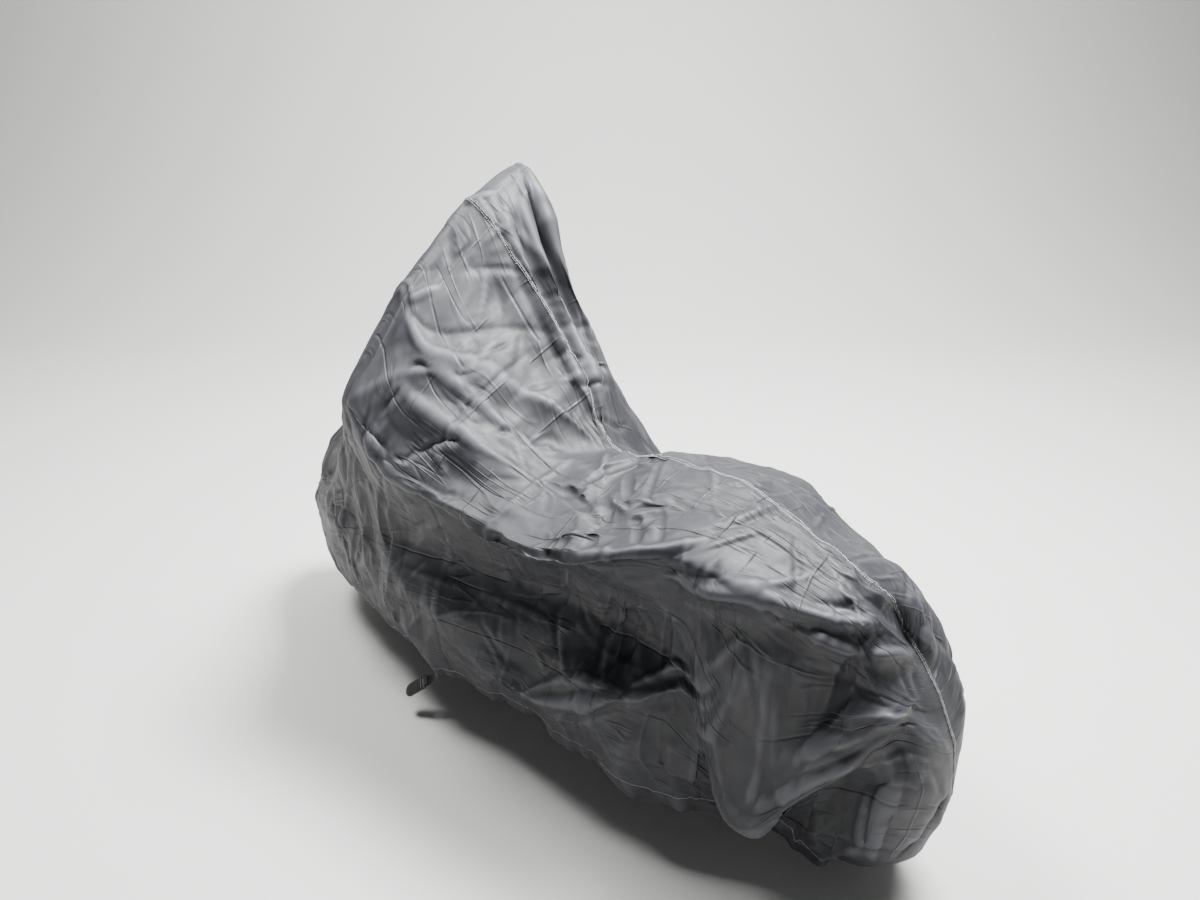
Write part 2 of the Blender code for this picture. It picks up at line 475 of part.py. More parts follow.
def build_buckle(frame, bar, material):
    """The moulded buckle: a flat body with two arms that hold a round bar."""
    work = bmesh.new()
    base = work.faces.new([work.verts.new((x, y, -BUCKLE_THICK / 2)) for x, y in buckle_outline()])
    raised = bmesh.ops.extrude_face_region(work, geom=[base])["geom"]
    bmesh.ops.translate(work, vec=(0, 0, BUCKLE_THICK), verts=[v for v in raised
                                                               if isinstance(v, bmesh.types.BMVert)])
    bmesh.ops.recalc_face_normals(work, faces=work.faces)
    mesh = bpy.data.meshes.new("strap_buckle")
    work.to_mesh(mesh)
    work.free()
    buckle = add_object("strap_buckle", mesh, material)
    buckle.matrix_world = Matrix.Translation(bar) @ frame
    bevel = buckle.modifiers.new("moulded edge", "BEVEL")
    bevel.width = BUCKLE_EDGE
    bevel.segments = 2
    bevel.limit_method = "ANGLE"

    work = bmesh.new()
    window = 2 * LUG_REACH + SLOT_LENGTH
    size = Matrix.Diagonal((window, SLOT_WIDTH, 2 * BUCKLE_THICK, 1))
    place = Matrix.Translation((SLOT_LENGTH - window / 2, 0, 0))
    bmesh.ops.create_cube(work, size=1, matrix=place @ size)
    slot = bpy.data.meshes.new("slot cutter")
    work.to_mesh(slot)
    work.free()
    work = bmesh.new()
    turned = Matrix.Rotation(math.pi / 2, 4, "X")
    bmesh.ops.create_cone(work, segments=BAR_SIDES, radius1=BAR_RADIUS, radius2=BAR_RADIUS, cap_ends=True,
                          depth=(SLOT_WIDTH + BUCKLE_WIDTH) / 2, matrix=turned)
    rod = bpy.data.meshes.new("bar guide")
    work.to_mesh(rod)
    work.free()
    for name, shape, operation in (("slot", slot, "DIFFERENCE"), ("bar", rod, "UNION")):
        step = buckle.modifiers.new(name, "BOOLEAN")
        step.operation = operation
        step.object = make_guide(name + " guide", shape, buckle.matrix_world)
    return buckle


def main():
    clear_scene()
    cloth, normals, seam = worn_cloth()
    taffeta = make_material("coated polyester taffeta", *TAFFETA)
    build_panel("left_panel", cloth[:, :seam + 1], normals[:, :seam + 1], seam, -1, taffeta)
    build_panel("right_panel", cloth[:, seam:], normals[:, seam:], 0, 1, taffeta)
    points, widths, frame, bar = strap_course(cloth, normals)
    build_webbing(points, widths, make_material("woven polyester webbing", *WEBBING))
    build_buckle(frame, bar, make_material("moulded acetal", *ACETAL))


main()
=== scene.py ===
"""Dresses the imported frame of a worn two-wheeler cover: its two cloth panels, seams, hem and strap end.

Metres, +Z up, -X is the front and -Y the left side. The tables are in mm, with heights above the floor and
lengths from the middle of the span; everything is then moved so that the saddle rest inside the cover is
the origin.
"""

import math
from collections import namedtuple

import bpy
import numpy as np
from mathutils import Matrix, Vector
from mathutils.geometry import delaunay_2d_cdt


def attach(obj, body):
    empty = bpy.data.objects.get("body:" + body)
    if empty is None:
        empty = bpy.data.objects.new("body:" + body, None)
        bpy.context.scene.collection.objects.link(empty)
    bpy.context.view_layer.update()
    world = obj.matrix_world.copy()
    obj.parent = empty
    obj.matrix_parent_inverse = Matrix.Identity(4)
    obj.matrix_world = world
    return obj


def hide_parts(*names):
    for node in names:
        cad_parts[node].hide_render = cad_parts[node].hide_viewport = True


bl_info = {
    "name": "Fitted Two-Wheeler Cover",
    "version": (1, 0, 0),
    "blender": (4, 5, 0),
    "location": "View3D > Sidebar > Cover",
    "description": "Builds the draped panels, seams, elastic hem and strap end of a worn cover",
    "category": "Object",
}

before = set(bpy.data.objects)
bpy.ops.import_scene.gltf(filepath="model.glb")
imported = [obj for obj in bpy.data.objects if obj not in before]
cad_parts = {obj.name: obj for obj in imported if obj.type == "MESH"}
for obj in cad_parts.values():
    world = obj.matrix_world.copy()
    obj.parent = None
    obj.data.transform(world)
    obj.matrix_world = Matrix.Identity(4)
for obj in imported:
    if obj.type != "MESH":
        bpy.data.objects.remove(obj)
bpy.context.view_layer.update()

MM = 1000               # table units in a metre
TURN = 2 * math.pi
REST_X = 0.25           # saddle rest, from the middle of the span
REST_Z = 0.735          # saddle rest, above the floor
TAUT = 0.4              # how much the cloth rounds off between the levels of a section, 0 taut and 1 slack
SHARP = 0.35            # how round a section stays where it turns back, 0 a corner and 1 a full curve
SEAM_LEVEL = 6          # the levels are hem, belly, tuck, waist, shoulder, roof and seam
FOLD_STEPS = 20         # stretches in which the line of a fold is followed
FOLD_FADE = 0.3         # share of its length over which a fold rises and widens at each end
FOLD_TIP = 0.4          # width of a fold at its ends, as a share of its full width

# How a table of folds is laid on the cloth: shares of its rises and of its widths, its flanks (1 straight,
# 2 curved out to the foot) and how far its crests are rounded off. The folds are shallower than the solid's,
# since facets and creases take up the rest.
Form = namedtuple("Form", "share narrow crest rounding")
FOLD_FORM = Form(0.30, 1.0, 1.1, 0.002)
CREASE_FORM = Form(0.95, 0.6, 1.0, 0.0015)

# Crumple of the whole cloth
SAG_PASSES = 6          # times that the sag is averaged over its neighbours, which leaves its broad waves
DOUBLINGS = 2           # times that the settled cloth is divided into finer cells
CRUMPLE_SEED = 11
CRUMPLE_PATCHES = (9, 10)       # patches along and across the cloth, each crumpled more or less strongly
CRUMPLE_STRENGTH = (0.55, 1.2)
TAIL_STRENGTH = 1.5     # the tail is the most crumpled
TAIL_PATCHES = np.s_[7:, :3]
TAUT_STRENGTH = 0.5     # and the facet behind the saddle is pulled flat
TAUT_PATCHES = np.s_[6:8, 3:5]
FACETS = ((1, 1.4), (0.5, 0.75), (0.22, 0.18))   # three sets, as shares of the facet size and depth
FACET_STRAY = 0.4       # how far a facet's corner strays from its place, as a share of the facet's size
SMALL_CREASES = 420     # short creases in all, each between the two values below
SMALL_LENGTH = (0.04, 0.16)
SMALL_RISE = (0.0015, 0.004)
SMALL_WIDTH = (0.009, 0.013)
PACKED_PITCH = 0.25     # distance between the lines in which the cover lay folded in its bag
PACKED_RISE = 0.003
PACKED_WIDTH = 0.008
PACKED_DRIFT = (-0.15, 0.15)    # of a line, as a share of that distance
PACKED_STRAY = (-0.006, 0.006)  # of one of its stretches from the line
PACKED_STRETCH = (0.8, 1.1)     # length and depth of a stretch, as shares
PACKED_DEPTH = (0.4, 1.2)
END_REACH = 0.04        # from the end seams, over which the crumple fades out

# Seams and hem
RIBBON = 7              # cells of the cloth beside a seam that its lap and stitches may use
CLOTH_LAYER = 0.0009    # by which a lapped layer of the cloth stands off the one below
LAP_STEPS = ((0.3, 1.0), (0.65, 1.0), (1.0, 1.0), (1.04, 0.15))  # shares of the lap's width and layer
LAP_WEAR = 0.1
SEAM_ROWS = (0.28, 0.72)    # the two rows of stitches, as shares of the lap
HEM_ROW = 0.002         # from the row along the hem to the casing's edge
PUCKER_PITCH = 0.019
PUCKER_DRIFT = 0.11
PUCKER_REACH = 0.028
GROOVE_DEPTH = 1.5      # of the seam's groove, in puckers
GROOVE_REACH = 0.012
HEM_WAVE = (0.006, 0.135, 0.47, 0.12)   # broad waves of the hem: depth, pitch, drift and reach
HEM_RIPPLE = (0.058, 0.23, 0.07)        # pitch, drift and reach of its small ripples
CASING_TURN = 7         # steps of the roll round the elastic
WEAR_PROUD = 0.0025     # height above its surroundings at which a ridge is fully rubbed
STITCH_SIDES = 5

# Strap end
STRAP_COURSE = (-0.66, -0.42, -0.62)
STRAP_SEWN = 0.010      # length of webbing that lies behind the hem
STRAP_RETURN = 0.012    # turned back round the bar and sewn to itself
STRAP_STEPS = 18
BAR_RADIUS = 0.0021
BAR_SIDES = 20
BAR_FLARE = 0.35        # by which the bar thickens where it joins the arms
BUCKLE_SLOT = 0.0095    # from the middle of the bar to the body
BUCKLE_SLOT_WIDTH = 0.027
BUCKLE_LUG = 0.0035     # of the two arms past the middle of the bar
GRIP_REACH = 0.020      # length of the ribbed part of the buckle
GRIP_PITCH = 0.0033
GRIP_DEPTH = 0.0006
RING_POINTS = 28

# Finishes and stage
WAVE_PERIOD = math.pi / 10  # length of one band of the wave texture at scale 1
THREAD_PITCH = 0.0009
FOLDED_PITCH = 0.11     # distance between the fine lines in which the cloth lay folded
FOLDED_WIDTH = 0.003
FOLDED_DEPTH = 0.0012
PINCH_WIDTH = 0.022     # of a pinched line, as a share of its band
PINCH_DEPTH = 0.0011
FLOOR_SIDE = 24
FLOOR_DEEP = 3.0        # from the saddle's rest to where the floor begins to curve up
FLOOR_BEND = 2.0        # radius of that curve
FLOOR_BENDS = 24
FLOOR_TALL = 4.5
CAMERA_PLACE = (0.8312, -1.3024, 0.765)
CAMERA_TURN = (65, 0, 40)
SKY_COLOUR = (0.92, 0.96, 1, 1)
BACKDROP_LIGHT = ((-1.8, 2.1, 3.2), (-3.4, 4.0, -0.2), 3.0)     # each light's place, its target and its side
KEY_LIGHT = ((-2.0, -0.5, 3.2), (-0.5, 0, 0.2), 1.1)
TOP_LIGHT = ((0.3, 1.1, 3.1), (-0.3, 0, 0), 1.3)
KEY_SHARE = 1.2         # of the key power that each of the last two gives
TOP_SHARE = 3.5

# One row for each section, front to rear: its foot on the hem, its head on the centre seam, how far its
# middle is pushed forward, and the seam's distance from the centre plane and height.
SPINE = (
    (-930, -890, 90, 0, 500),   # front seam
    (-910, -850, 70, 0, 570),   # nose edge
    (-840, -780, 30, 10, 670),  # nose side
    (-720, -690, 0, 20, 800),   # nose
    (-600, -580, 0, 40, 960),   # rise to the peak
    (-470, -460, 0, 70, 1150),  # peak
    (-340, -310, 0, 80, 1010),  # behind the peak
    (-180, -150, 0, 70, 840),   # swag
    (-20, 10, 0, 30, 720),      # saddle front
    (160, 170, 0, 0, 745),      # saddle
    (340, 330, 0, -10, 745),    # saddle rear
    (500, 470, 0, -30, 720),    # behind the saddle
    (610, 600, -30, -60, 680),  # tail
    (670, 650, -90, -25, 635),  # tail edge
    (690, 660, -120, 0, 575),   # rear seam
)

# The two sides, a row for each section: distance from the centre plane and height of the hem, the belly,
# the tuck, the waist, the shoulder and the roof. At the rear left the waist is the lip of a big fold that
# hangs over the tuck behind it.
LEFT = (
    (0, 90, 0, 170, 0, 250, 0, 340, 0, 420, 0, 470),
    (50, 90, 80, 170, 90, 260, 90, 340, 70, 430, 40, 520),
    (90, 90, 140, 180, 160, 270, 160, 360, 140, 460, 80, 580),
    (130, 100, 190, 200, 210, 300, 210, 390, 190, 510, 120, 660),
    (160, 110, 230, 220, 250, 320, 250, 430, 230, 630, 130, 770),
    (190, 120, 260, 240, 270, 340, 270, 460, 280, 780, 120, 1010),
    (220, 130, 280, 250, 275, 350, 240, 470, 310, 710, 190, 860),
    (240, 140, 280, 250, 270, 360, 215, 470, 300, 665, 190, 760),
    (240, 150, 280, 260, 255, 360, 200, 470, 305, 645, 170, 700),
    (250, 150, 270, 260, 255, 370, 200, 470, 275, 660, 150, 715),
    (230, 140, 260, 250, 240, 360, 195, 470, 230, 690, 130, 735),
    (130, 90, 140, 130, 150, 180, 220, 200, 200, 670, 110, 710),
    (90, 60, 130, 150, 140, 290, 190, 340, 160, 600, 110, 665),
    (50, 50, 100, 170, 100, 360, 130, 460, 120, 540, 80, 610),
    (0, 50, 0, 160, 0, 280, 0, 390, 0, 470, 0, 530),
)
RIGHT = (
    (0, 90, 0, 170, 0, 250, 0, 340, 0, 420, 0, 470),
    (50, 90, 80, 170, 90, 260, 90, 340, 80, 430, 40, 520),
    (90, 90, 140, 180, 160, 270, 160, 360, 150, 500, 90, 620),
    (130, 100, 190, 200, 220, 300, 220, 410, 210, 600, 140, 740),
    (160, 110, 230, 220, 260, 320, 270, 460, 260, 740, 180, 930),
    (190, 120, 260, 240, 280, 340, 290, 500, 300, 860, 240, 1215),
    (220, 130, 280, 250, 280, 350, 280, 500, 310, 740, 210, 1020),
    (240, 140, 280, 250, 280, 360, 260, 470, 300, 630, 180, 790),
    (240, 150, 280, 260, 270, 360, 240, 470, 290, 560, 150, 620),
    (250, 150, 270, 260, 270, 370, 240, 470, 270, 620, 150, 695),
    (230, 140, 260, 250, 250, 360, 220, 470, 230, 640, 130, 700),
    (170, 100, 220, 200, 220, 320, 200, 450, 180, 610, 110, 665),
    (120, 70, 170, 170, 180, 300, 170, 420, 150, 550, 80, 635),
    (60, 50, 110, 160, 120, 290, 120, 400, 100, 510, 50, 590),
    (0, 50, 0, 160, 0, 280, 0, 390, 0, 470, 0, 530),
)

# The main folds. Each runs from its start past its middle to its end, given as section and level, where
# level 0 is the left hem, 6 the centre seam and 12 the right hem. Then come its rise, which is below zero
# in a trough, and its half width.
FOLDS = (
    # peak, on the side that faces the saddle
    (5.2, 6.3, 6.5, 6.06, 7.9, 5.84, 59, 82), (5.35, 6.42, 6.6, 6.2, 7.8, 5.98, -33, 57),
    (5.4, 6.58, 6.5, 6.45, 7.9, 6.02, 45, 62), (5.3, 6.72, 6.3, 6.66, 7.7, 6.3, -31, 57),
    (5.1, 6.9, 6.1, 6.85, 7.1, 7.15, 35, 62), (5.6, 5.75, 6.4, 5.7, 7.4, 5.7, -26, 122),
    (5.2, 4.85, 6.2, 5.48, 6.9, 6.05, -10, 54), (5.2, 4.8, 6.6, 5.38, 8.1, 5.84, 47, 74),
    (5.5, 4.8, 6.8, 5.27, 7.8, 5.58, -28, 60), (5.7, 5, 6.7, 5.2, 7.8, 5.38, 42, 67),
    (5.9, 4.9, 6.8, 5.04, 7.7, 5.15, -31, 60), (5.6, 4.6, 6.7, 4.74, 7.9, 5.02, 40, 72),
    (5.6, 4.35, 6.7, 4.42, 7.8, 4.65, -33, 72), (4.9, 3.9, 5.5, 4.4, 6.1, 5.1, 35, 67),
    # front left edge
    (5.1, 3.8, 3.6, 3.7, 2.7, 2.2, 31, 77), (4.6, 3.6, 3.9, 2.9, 3.4, 1.8, -26, 77),
    (4.4, 3.9, 2.9, 4.4, 1.6, 4, 24, 87), (6, 3.9, 5.3, 3.1, 5.2, 1.9, 21, 67),
    # saddle
    (7.4, 5.3, 7.9, 5.75, 8.2, 6.7, -35, 62), (7.7, 4.9, 8.3, 5.5, 8.6, 6.3, 24, 72),
    (8.2, 5.6, 8.6, 5.9, 9.2, 6.15, -17, 54), (8.4, 4.7, 8.9, 5.2, 9.6, 5.4, -17, 54),
    (5.9, 3.9, 8.5, 3.86, 10.1, 4.2, 40, 72), (9.5, 4, 10.35, 4.62, 11.3, 5.9, 28, 72),
    (10.9, 5.8, 11.6, 5.95, 12.3, 5.4, 21, 72),
    # left side
    (6.6, 3.3, 8.4, 3.35, 9.8, 3.5, -28, 132), (9.4, 3.7, 10.35, 4.3, 11.1, 5.5, -20, 67),
    (9.9, 3.8, 11, 4.6, 12.1, 5, 17, 122), (9.7, 3.7, 11.2, 4.05, 12.9, 5.1, 42, 64),
    (9.9, 3.5, 11.1, 3.76, 12.1, 4.1, -40, 70), (9.25, 3.5, 9.28, 2.8, 9.29, 2, 24, 54),
    (9.55, 3.5, 9.55, 2.9, 9.52, 2.2, 21, 54), (9.99, 3.5, 9.96, 3.1, 9.94, 2.6, 21, 54),
    (7.2, 0.7, 9.2, 1.65, 11, 3.7, 47, 72), (5.7, 2.4, 6.8, 1.7, 8.2, 1.3, 28, 92),
    (7.6, 1.9, 9, 2.5, 10.3, 3.4, -28, 97), (9.7, 1.8, 9.6, 1.2, 9.5, 0.3, 19, 57),
    (10.2, 2.2, 10.35, 1.5, 10.1, 0.4, 19, 57), (9.2, 1.2, 9.1, 0.7, 9.1, 0.1, -19, 62),
    # tail
    (11.5, 3.9, 12.5, 4.37, 13.6, 4.95, 35, 57), (11.7, 3.75, 12.6, 4.15, 13.5, 4.6, -31, 62),
    (12.7, 6.1, 12.3, 5.5, 11.85, 4.3, 31, 67), (11.2, 3.17, 12.5, 3.13, 13.5, 3.8, 14, 50),
    (11.3, 2.75, 12.5, 2.7, 13.4, 3.2, -35, 72), (11.6, 3.36, 12.6, 3.4, 13.6, 4.15, 16, 48),
    (12.6, 4.25, 12.08, 3.62, 11.4, 3.4, -31, 62), (13.35, 2.95, 13.1, 2.2, 12.6, 1.5, 16, 57),
    (12.7, 2.6, 12.45, 1.9, 12.6, 1.1, -24, 62),
    # right side
    (5, 7.2, 5.3, 8.6, 5.6, 10.3, 35, 92), (4.9, 7.4, 4.1, 8.7, 3.4, 10.2, 35, 87),
    (5.3, 7.4, 6.7, 8.2, 8.2, 8.7, 40, 87), (5.7, 7.9, 6.9, 8.5, 8, 9, -28, 77),
    (5.6, 8.3, 6.8, 8.9, 8.4, 9.3, 31, 82), (6.8, 9.2, 8.4, 9, 10, 8.9, -31, 122),
    (8.3, 8.1, 9.4, 8, 10.8, 7.8, 26, 77), (5.8, 9.8, 8.2, 10.5, 11, 10, 33, 97),
    (10.3, 7.8, 11.6, 8.6, 13, 9.2, 33, 77), (10.4, 8.4, 11.6, 9.2, 12.7, 9.9, -26, 77),
    (3, 7.8, 2.6, 9, 2.4, 10.6, 26, 77), (4.4, 8.8, 4.2, 9.8, 4.1, 11.2, -26, 82),
    # nose
    (4.6, 6.5, 2.8, 6.9, 1.1, 7.4, 31, 82), (4.7, 5.5, 3, 5.5, 1.4, 4.8, 31, 82),
    (4.2, 6, 2.8, 5.9, 1.4, 5.7, -21, 77),
)
# Creases: sharp lines where the cloth was packed flat or is pinched, given as the folds are.
CREASES = (
    # ridges that fall from the peak to the saddle
    (5.2, 6.3, 6.5, 6.06, 7.9, 5.84, 20, 36), (5.35, 6.42, 6.6, 6.2, 7.8, 5.98, -16, 30),
    (5.4, 6.58, 6.5, 6.45, 7.9, 6.02, 18, 34), (5.3, 6.72, 6.3, 6.66, 7.7, 6.3, -14, 30),
    (5.1, 6.9, 6.1, 6.85, 7.1, 7.15, 16, 34),
    # the saddle's edge, and the edges of the loose cloth behind it
    (5.9, 3.9, 8.5, 3.86, 10.1, 4.2, 14, 36), (9.7, 3.7, 11.2, 4.05, 12.9, 5.1, 12, 32),
    (7.2, 0.7, 9.2, 1.65, 11, 3.7, 10, 32),
    # facets and drag lines of the peak
    (4.95, 5.85, 5.1, 6.15, 5.25, 6.4, 7, 26), (5.1, 6.15, 5.3, 6.1, 5.5, 6.1, 5, 20),
    (5.2, 6.35, 5.4, 6.3, 5.5, 6.2, -5, 18), (5.1, 5.65, 5.3, 5.55, 5.45, 5.5, -6, 22),
    (5.45, 5.5, 5.45, 5.65, 5.4, 5.7, -5, 16), (5.3, 4.95, 5.4, 5.2, 5.5, 5.4, 8, 28),
    (5.5, 5.5, 5.75, 5.75, 6.05, 6.05, -4, 18), (6.25, 6.2, 6.3, 6.45, 6.35, 6.6, -4, 16),
    (5.8, 5.75, 6.05, 5.7, 6.35, 5.55, -4, 16), (5.65, 5.7, 5.85, 5.65, 6.05, 5.5, 4, 18),
    (5.3, 4.9, 6, 5.4, 6.8, 6.05, -4, 24), (6.1, 5.4, 6.2, 5.4, 6.35, 5.45, -5, 15),
    (6.35, 5.45, 6.4, 5.55, 6.45, 5.6, -6, 15), (6.3, 5.4, 6.3, 5.45, 6.3, 5.5, 4, 14),
    (5.85, 5.3, 6.05, 5.3, 6.25, 5.3, -4, 18), (6.9, 5.5, 7, 5.65, 7.05, 5.8, -6, 17),
    (6.95, 5.6, 7.05, 5.75, 7.2, 5.95, 5, 16), (6.85, 6.2, 7.05, 6.05, 7.3, 5.9, -7, 18),
    (6.9, 6.2, 6.95, 6.65, 6.95, 7.15, -6, 20), (7.25, 5.85, 7.25, 6.1, 7.1, 6.9, -6, 18),
    (7.5, 6, 7.55, 6.4, 7.4, 7.25, -7, 20), (6.35, 7.2, 6.55, 7.2, 6.7, 7.2, 5, 18),
    # drag folds that sweep from the peak to the saddle
    (5.35, 4.85, 6.2, 5.3, 6.9, 5.5, 8, 26), (6.9, 5.5, 7.4, 5.65, 7.9, 5.8, 8, 24),
    (6.05, 5.1, 6.6, 5.2, 7.4, 5.3, 8, 24), (5.85, 4.65, 6.4, 4.7, 7.45, 4.9, 6, 26),
    (6.25, 5.15, 6.35, 5.25, 6.45, 5.35, -5, 16), (5.8, 4.75, 5.9, 4.95, 6.05, 5.1, -7, 18),
    (5.7, 4.3, 5.8, 4.5, 5.85, 4.65, -6, 18), (5.1, 4, 5.5, 4.05, 6.1, 4.15, -6, 20),
    (7.05, 5.15, 7.15, 5.25, 7.4, 5.3, -7, 17), (7.4, 5.3, 7.45, 5.45, 7.65, 5.5, -7, 16),
    (7.45, 5.45, 7.6, 5.4, 7.65, 5.5, 5, 14), (6.1, 4.15, 6.25, 4.15, 6.35, 4.4, -6, 18),
    (6.3, 4.25, 6.65, 4.6, 6.85, 4.75, -7, 20), (6.55, 4.5, 6.75, 4.4, 6.9, 4.3, 6, 18),
    (5.65, 4.05, 5.95, 3.85, 6.65, 3.85, 10, 26), (6.65, 3.85, 7.25, 4.05, 7.8, 4.2, 9, 26),
    (7.8, 4.2, 8.65, 3.85, 9.25, 4, 9, 26), (9.25, 4, 9.9, 4.2, 10.35, 4.6, 9, 24),
    # saddle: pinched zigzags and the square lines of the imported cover
    (8.3, 5.15, 8.4, 5.55, 8.5, 5.85, -8, 20), (8.5, 5.85, 8.75, 5.9, 9, 6, -7, 18),
    (7.75, 5.1, 8.35, 4.9, 9.1, 4.45, -9, 22), (9.1, 4.45, 8.85, 4.85, 8.55, 5.3, -7, 18),
    (8.75, 5.05, 9, 4.85, 9.2, 4.75, 7, 18), (9.2, 4.75, 9.4, 4.95, 9.65, 5.15, -7, 17),
    (9.45, 5.25, 9.7, 5.15, 9.95, 5.05, -6, 18), (9.25, 4.65, 9.35, 4.65, 9.4, 4.65, -6, 14),
    (9.35, 4.65, 9.5, 4.45, 9.6, 4.25, -6, 16), (9.55, 4.5, 9.6, 4.55, 9.7, 4.55, 5, 14),
    (8.55, 4.25, 8.85, 4.35, 9.35, 4.45, 6, 18), (8.7, 3.9, 8.75, 4.2, 8.75, 4.35, -5, 16),
    (9.05, 4.1, 9.05, 4.25, 9.05, 4.4, -5, 16), (8, 5.2, 8.25, 5.05, 8.4, 5.2, -6, 17),
    (8.6, 5.6, 8.85, 5.35, 9, 5.1, -7, 18), (7.95, 5.8, 8.25, 5.55, 8.55, 5.3, 5, 18),
    (8.75, 5.3, 9, 5, 9.2, 4.75, -5, 15), (8.8, 6.2, 9.15, 5.35, 9.45, 5, -4, 15),
    (9.45, 5, 9.7, 4.55, 9.85, 4.25, -4, 15), (9.3, 6.4, 9.6, 6, 10, 5.35, 4, 16),
    (10, 5.35, 10.2, 5.1, 10.25, 4.85, 4, 16), (10.5, 6.25, 10.85, 6.2, 11.3, 6.1, 5, 18),
    (11.3, 6.1, 11.65, 5.95, 12.2, 5.5, 6, 20), (9.85, 4.3, 10.35, 4.65, 10.65, 5.75, -5, 26),
    (10.3, 4.75, 10.5, 5.55, 10.6, 6.35, 4, 24),
    # rear facet of the side
    (10.55, 4.35, 10.6, 4.05, 10.6, 3.9, -5, 17), (11, 5.8, 11.3, 4.85, 11.45, 4.25, -4, 17),
    (10.8, 3.95, 11.2, 4.35, 11.6, 5.05, 4, 18), (10, 3.65, 10.6, 3.85, 11.1, 4, 4, 22),
    (11.1, 4, 11.4, 4.2, 11.85, 4.4, 4, 22), (11.9, 4.35, 12.25, 4.65, 12.75, 5.1, 4, 22),
    (11.5, 4.3, 11.9, 4.65, 12.45, 5.1, -3, 20), (12.35, 5.55, 11.95, 4.6, 11.85, 4.35, -4, 22),
    (11.4, 3.85, 11.95, 4.05, 12.5, 4.35, 9, 20), (12.5, 4.35, 13, 4.6, 13.6, 4.9, 8, 20),
    (11.2, 4, 11.3, 3.9, 11.4, 3.9, -8, 16), (9.95, 3.55, 10.6, 3.75, 11.3, 3.85, -8, 18),
    (10.6, 3.85, 10.6, 3.7, 10.65, 3.6, -6, 16),
    # left side
    (9.25, 3.55, 9, 2.8, 9.2, 1.9, -7, 18), (9.4, 3.6, 9.15, 2.75, 9.3, 1.95, 5, 16),
    (9.55, 3.55, 9.3, 2.95, 9.45, 2.1, -6, 18), (10, 3.55, 9.85, 3.05, 9.9, 2.55, -7, 18),
    (9.45, 3.35, 9.55, 3.3, 9.65, 3.1, -5, 15), (8.9, 3.7, 8.95, 3.55, 9.05, 3.45, -5, 15),
    (8.5, 3.55, 8.3, 2.7, 8.7, 2, -5, 18), (7.8, 0.9, 8.75, 1.7, 9.55, 2.25, 9, 24),
    (9.55, 2.25, 9.95, 2.7, 10.5, 3.45, 9, 22), (10.5, 3.45, 10.8, 3.65, 11.05, 3.75, 7, 20),
    (8.45, 0.7, 9.15, 1.4, 9.85, 2.25, -7, 22), (9.85, 2.25, 10.3, 3.1, 10.8, 3.6, -6, 20),
    (11.3, 3.8, 11.25, 3.3, 11.2, 3.2, 5, 16), (6, 3.85, 5.3, 3.15, 5.45, 2.65, -8, 22),
    (7.6, 3.6, 7.5, 2.6, 7.7, 1.4, -4, 17), (6.7, 3.5, 6.5, 2.6, 6.8, 1.2, 4, 18),
    (9.9, 2.2, 9.8, 1.2, 10, 0.3, 4, 16), (10.7, 3.1, 10.8, 1.8, 10.6, 0.4, -4, 16),
    (8.9, 1.3, 8.7, 0.8, 8.8, 0.2, 4, 16), (6.2, 1.7, 7.6, 0.9, 8.8, 0.7, -5, 20),
    # tail
    (12.8, 5.15, 12.6, 4.5, 12.4, 4.15, -3, 20), (12.3, 4.35, 12.5, 4.75, 12.75, 5.1, -3, 20),
    (12.35, 4.65, 12.6, 4.8, 12.85, 5, 3, 20), (12.2, 7.1, 12.85, 6.85, 13.25, 6.95, -7, 18),
    (13.25, 6.95, 13.55, 6.8, 13.9, 6.85, 6, 18), (11.45, 3.85, 11.6, 3.95, 11.7, 3.95, -8, 16),
    (11.2, 3.2, 11.95, 3.2, 12.5, 3.15, 9, 22), (12.5, 3.15, 12.8, 3.1, 13.2, 3.1, 5, 20),
    (11.65, 3.35, 12, 3.4, 12.55, 3.35, 7, 18), (12.55, 3.35, 13.15, 3.55, 13.7, 4.25, 6, 22),
    (12.4, 4.25, 12.1, 3.6, 11.75, 3.4, -8, 20), (12.45, 1.85, 12.5, 1.5, 12.6, 1.2, 6, 18),
    (11.75, 0.95, 12.6, 1.2, 13.25, 1.2, -6, 20), (12.9, 2.4, 12.7, 1.6, 12.9, 0.7, 5, 18),
    (13.2, 1, 13.45, 1.6, 13.8, 2.2, -6, 18),
    # right side and nose
    (5.3, 7.3, 6, 8, 7.6, 8.5, 8, 24), (5.5, 7.9, 6.4, 8.6, 8, 9.1, -7, 22),
    (5.2, 8.1, 5.5, 9.1, 5.4, 10.4, -6, 20), (6.6, 8.2, 6.9, 9.3, 6.7, 10.6, -5, 20),
    (8.3, 8.2, 9.5, 8.1, 10.8, 7.9, 8, 22), (8.2, 8.9, 8.4, 9.9, 8.2, 11, 5, 18),
    (9.3, 8.3, 9.5, 9.2, 9.3, 10.6, -6, 18), (10.2, 8.2, 10.5, 9.4, 10.2, 10.8, -5, 18),
    (8.6, 6.6, 9.1, 7.2, 9.3, 7.9, -6, 18), (9.5, 6.4, 9.9, 7.1, 10.5, 7.6, 5, 18),
    (10.4, 7.8, 11.6, 8.5, 13, 9, 7, 20), (11.5, 7, 11.8, 8, 11.6, 9.3, -6, 18),
    (12.2, 9.4, 12.6, 10.2, 12.4, 11.2, -6, 18), (4.8, 7.4, 4.1, 8.6, 3.5, 10, 8, 22),
    (4.2, 7.2, 3.2, 7.9, 2.2, 9.4, -6, 20), (4.6, 6.5, 3, 6.9, 1.3, 7.3, 8, 22),
    (4.6, 5.5, 3.1, 5.5, 1.5, 4.9, 7, 22), (4, 4.4, 2.9, 4.2, 1.8, 3.2, -6, 20),
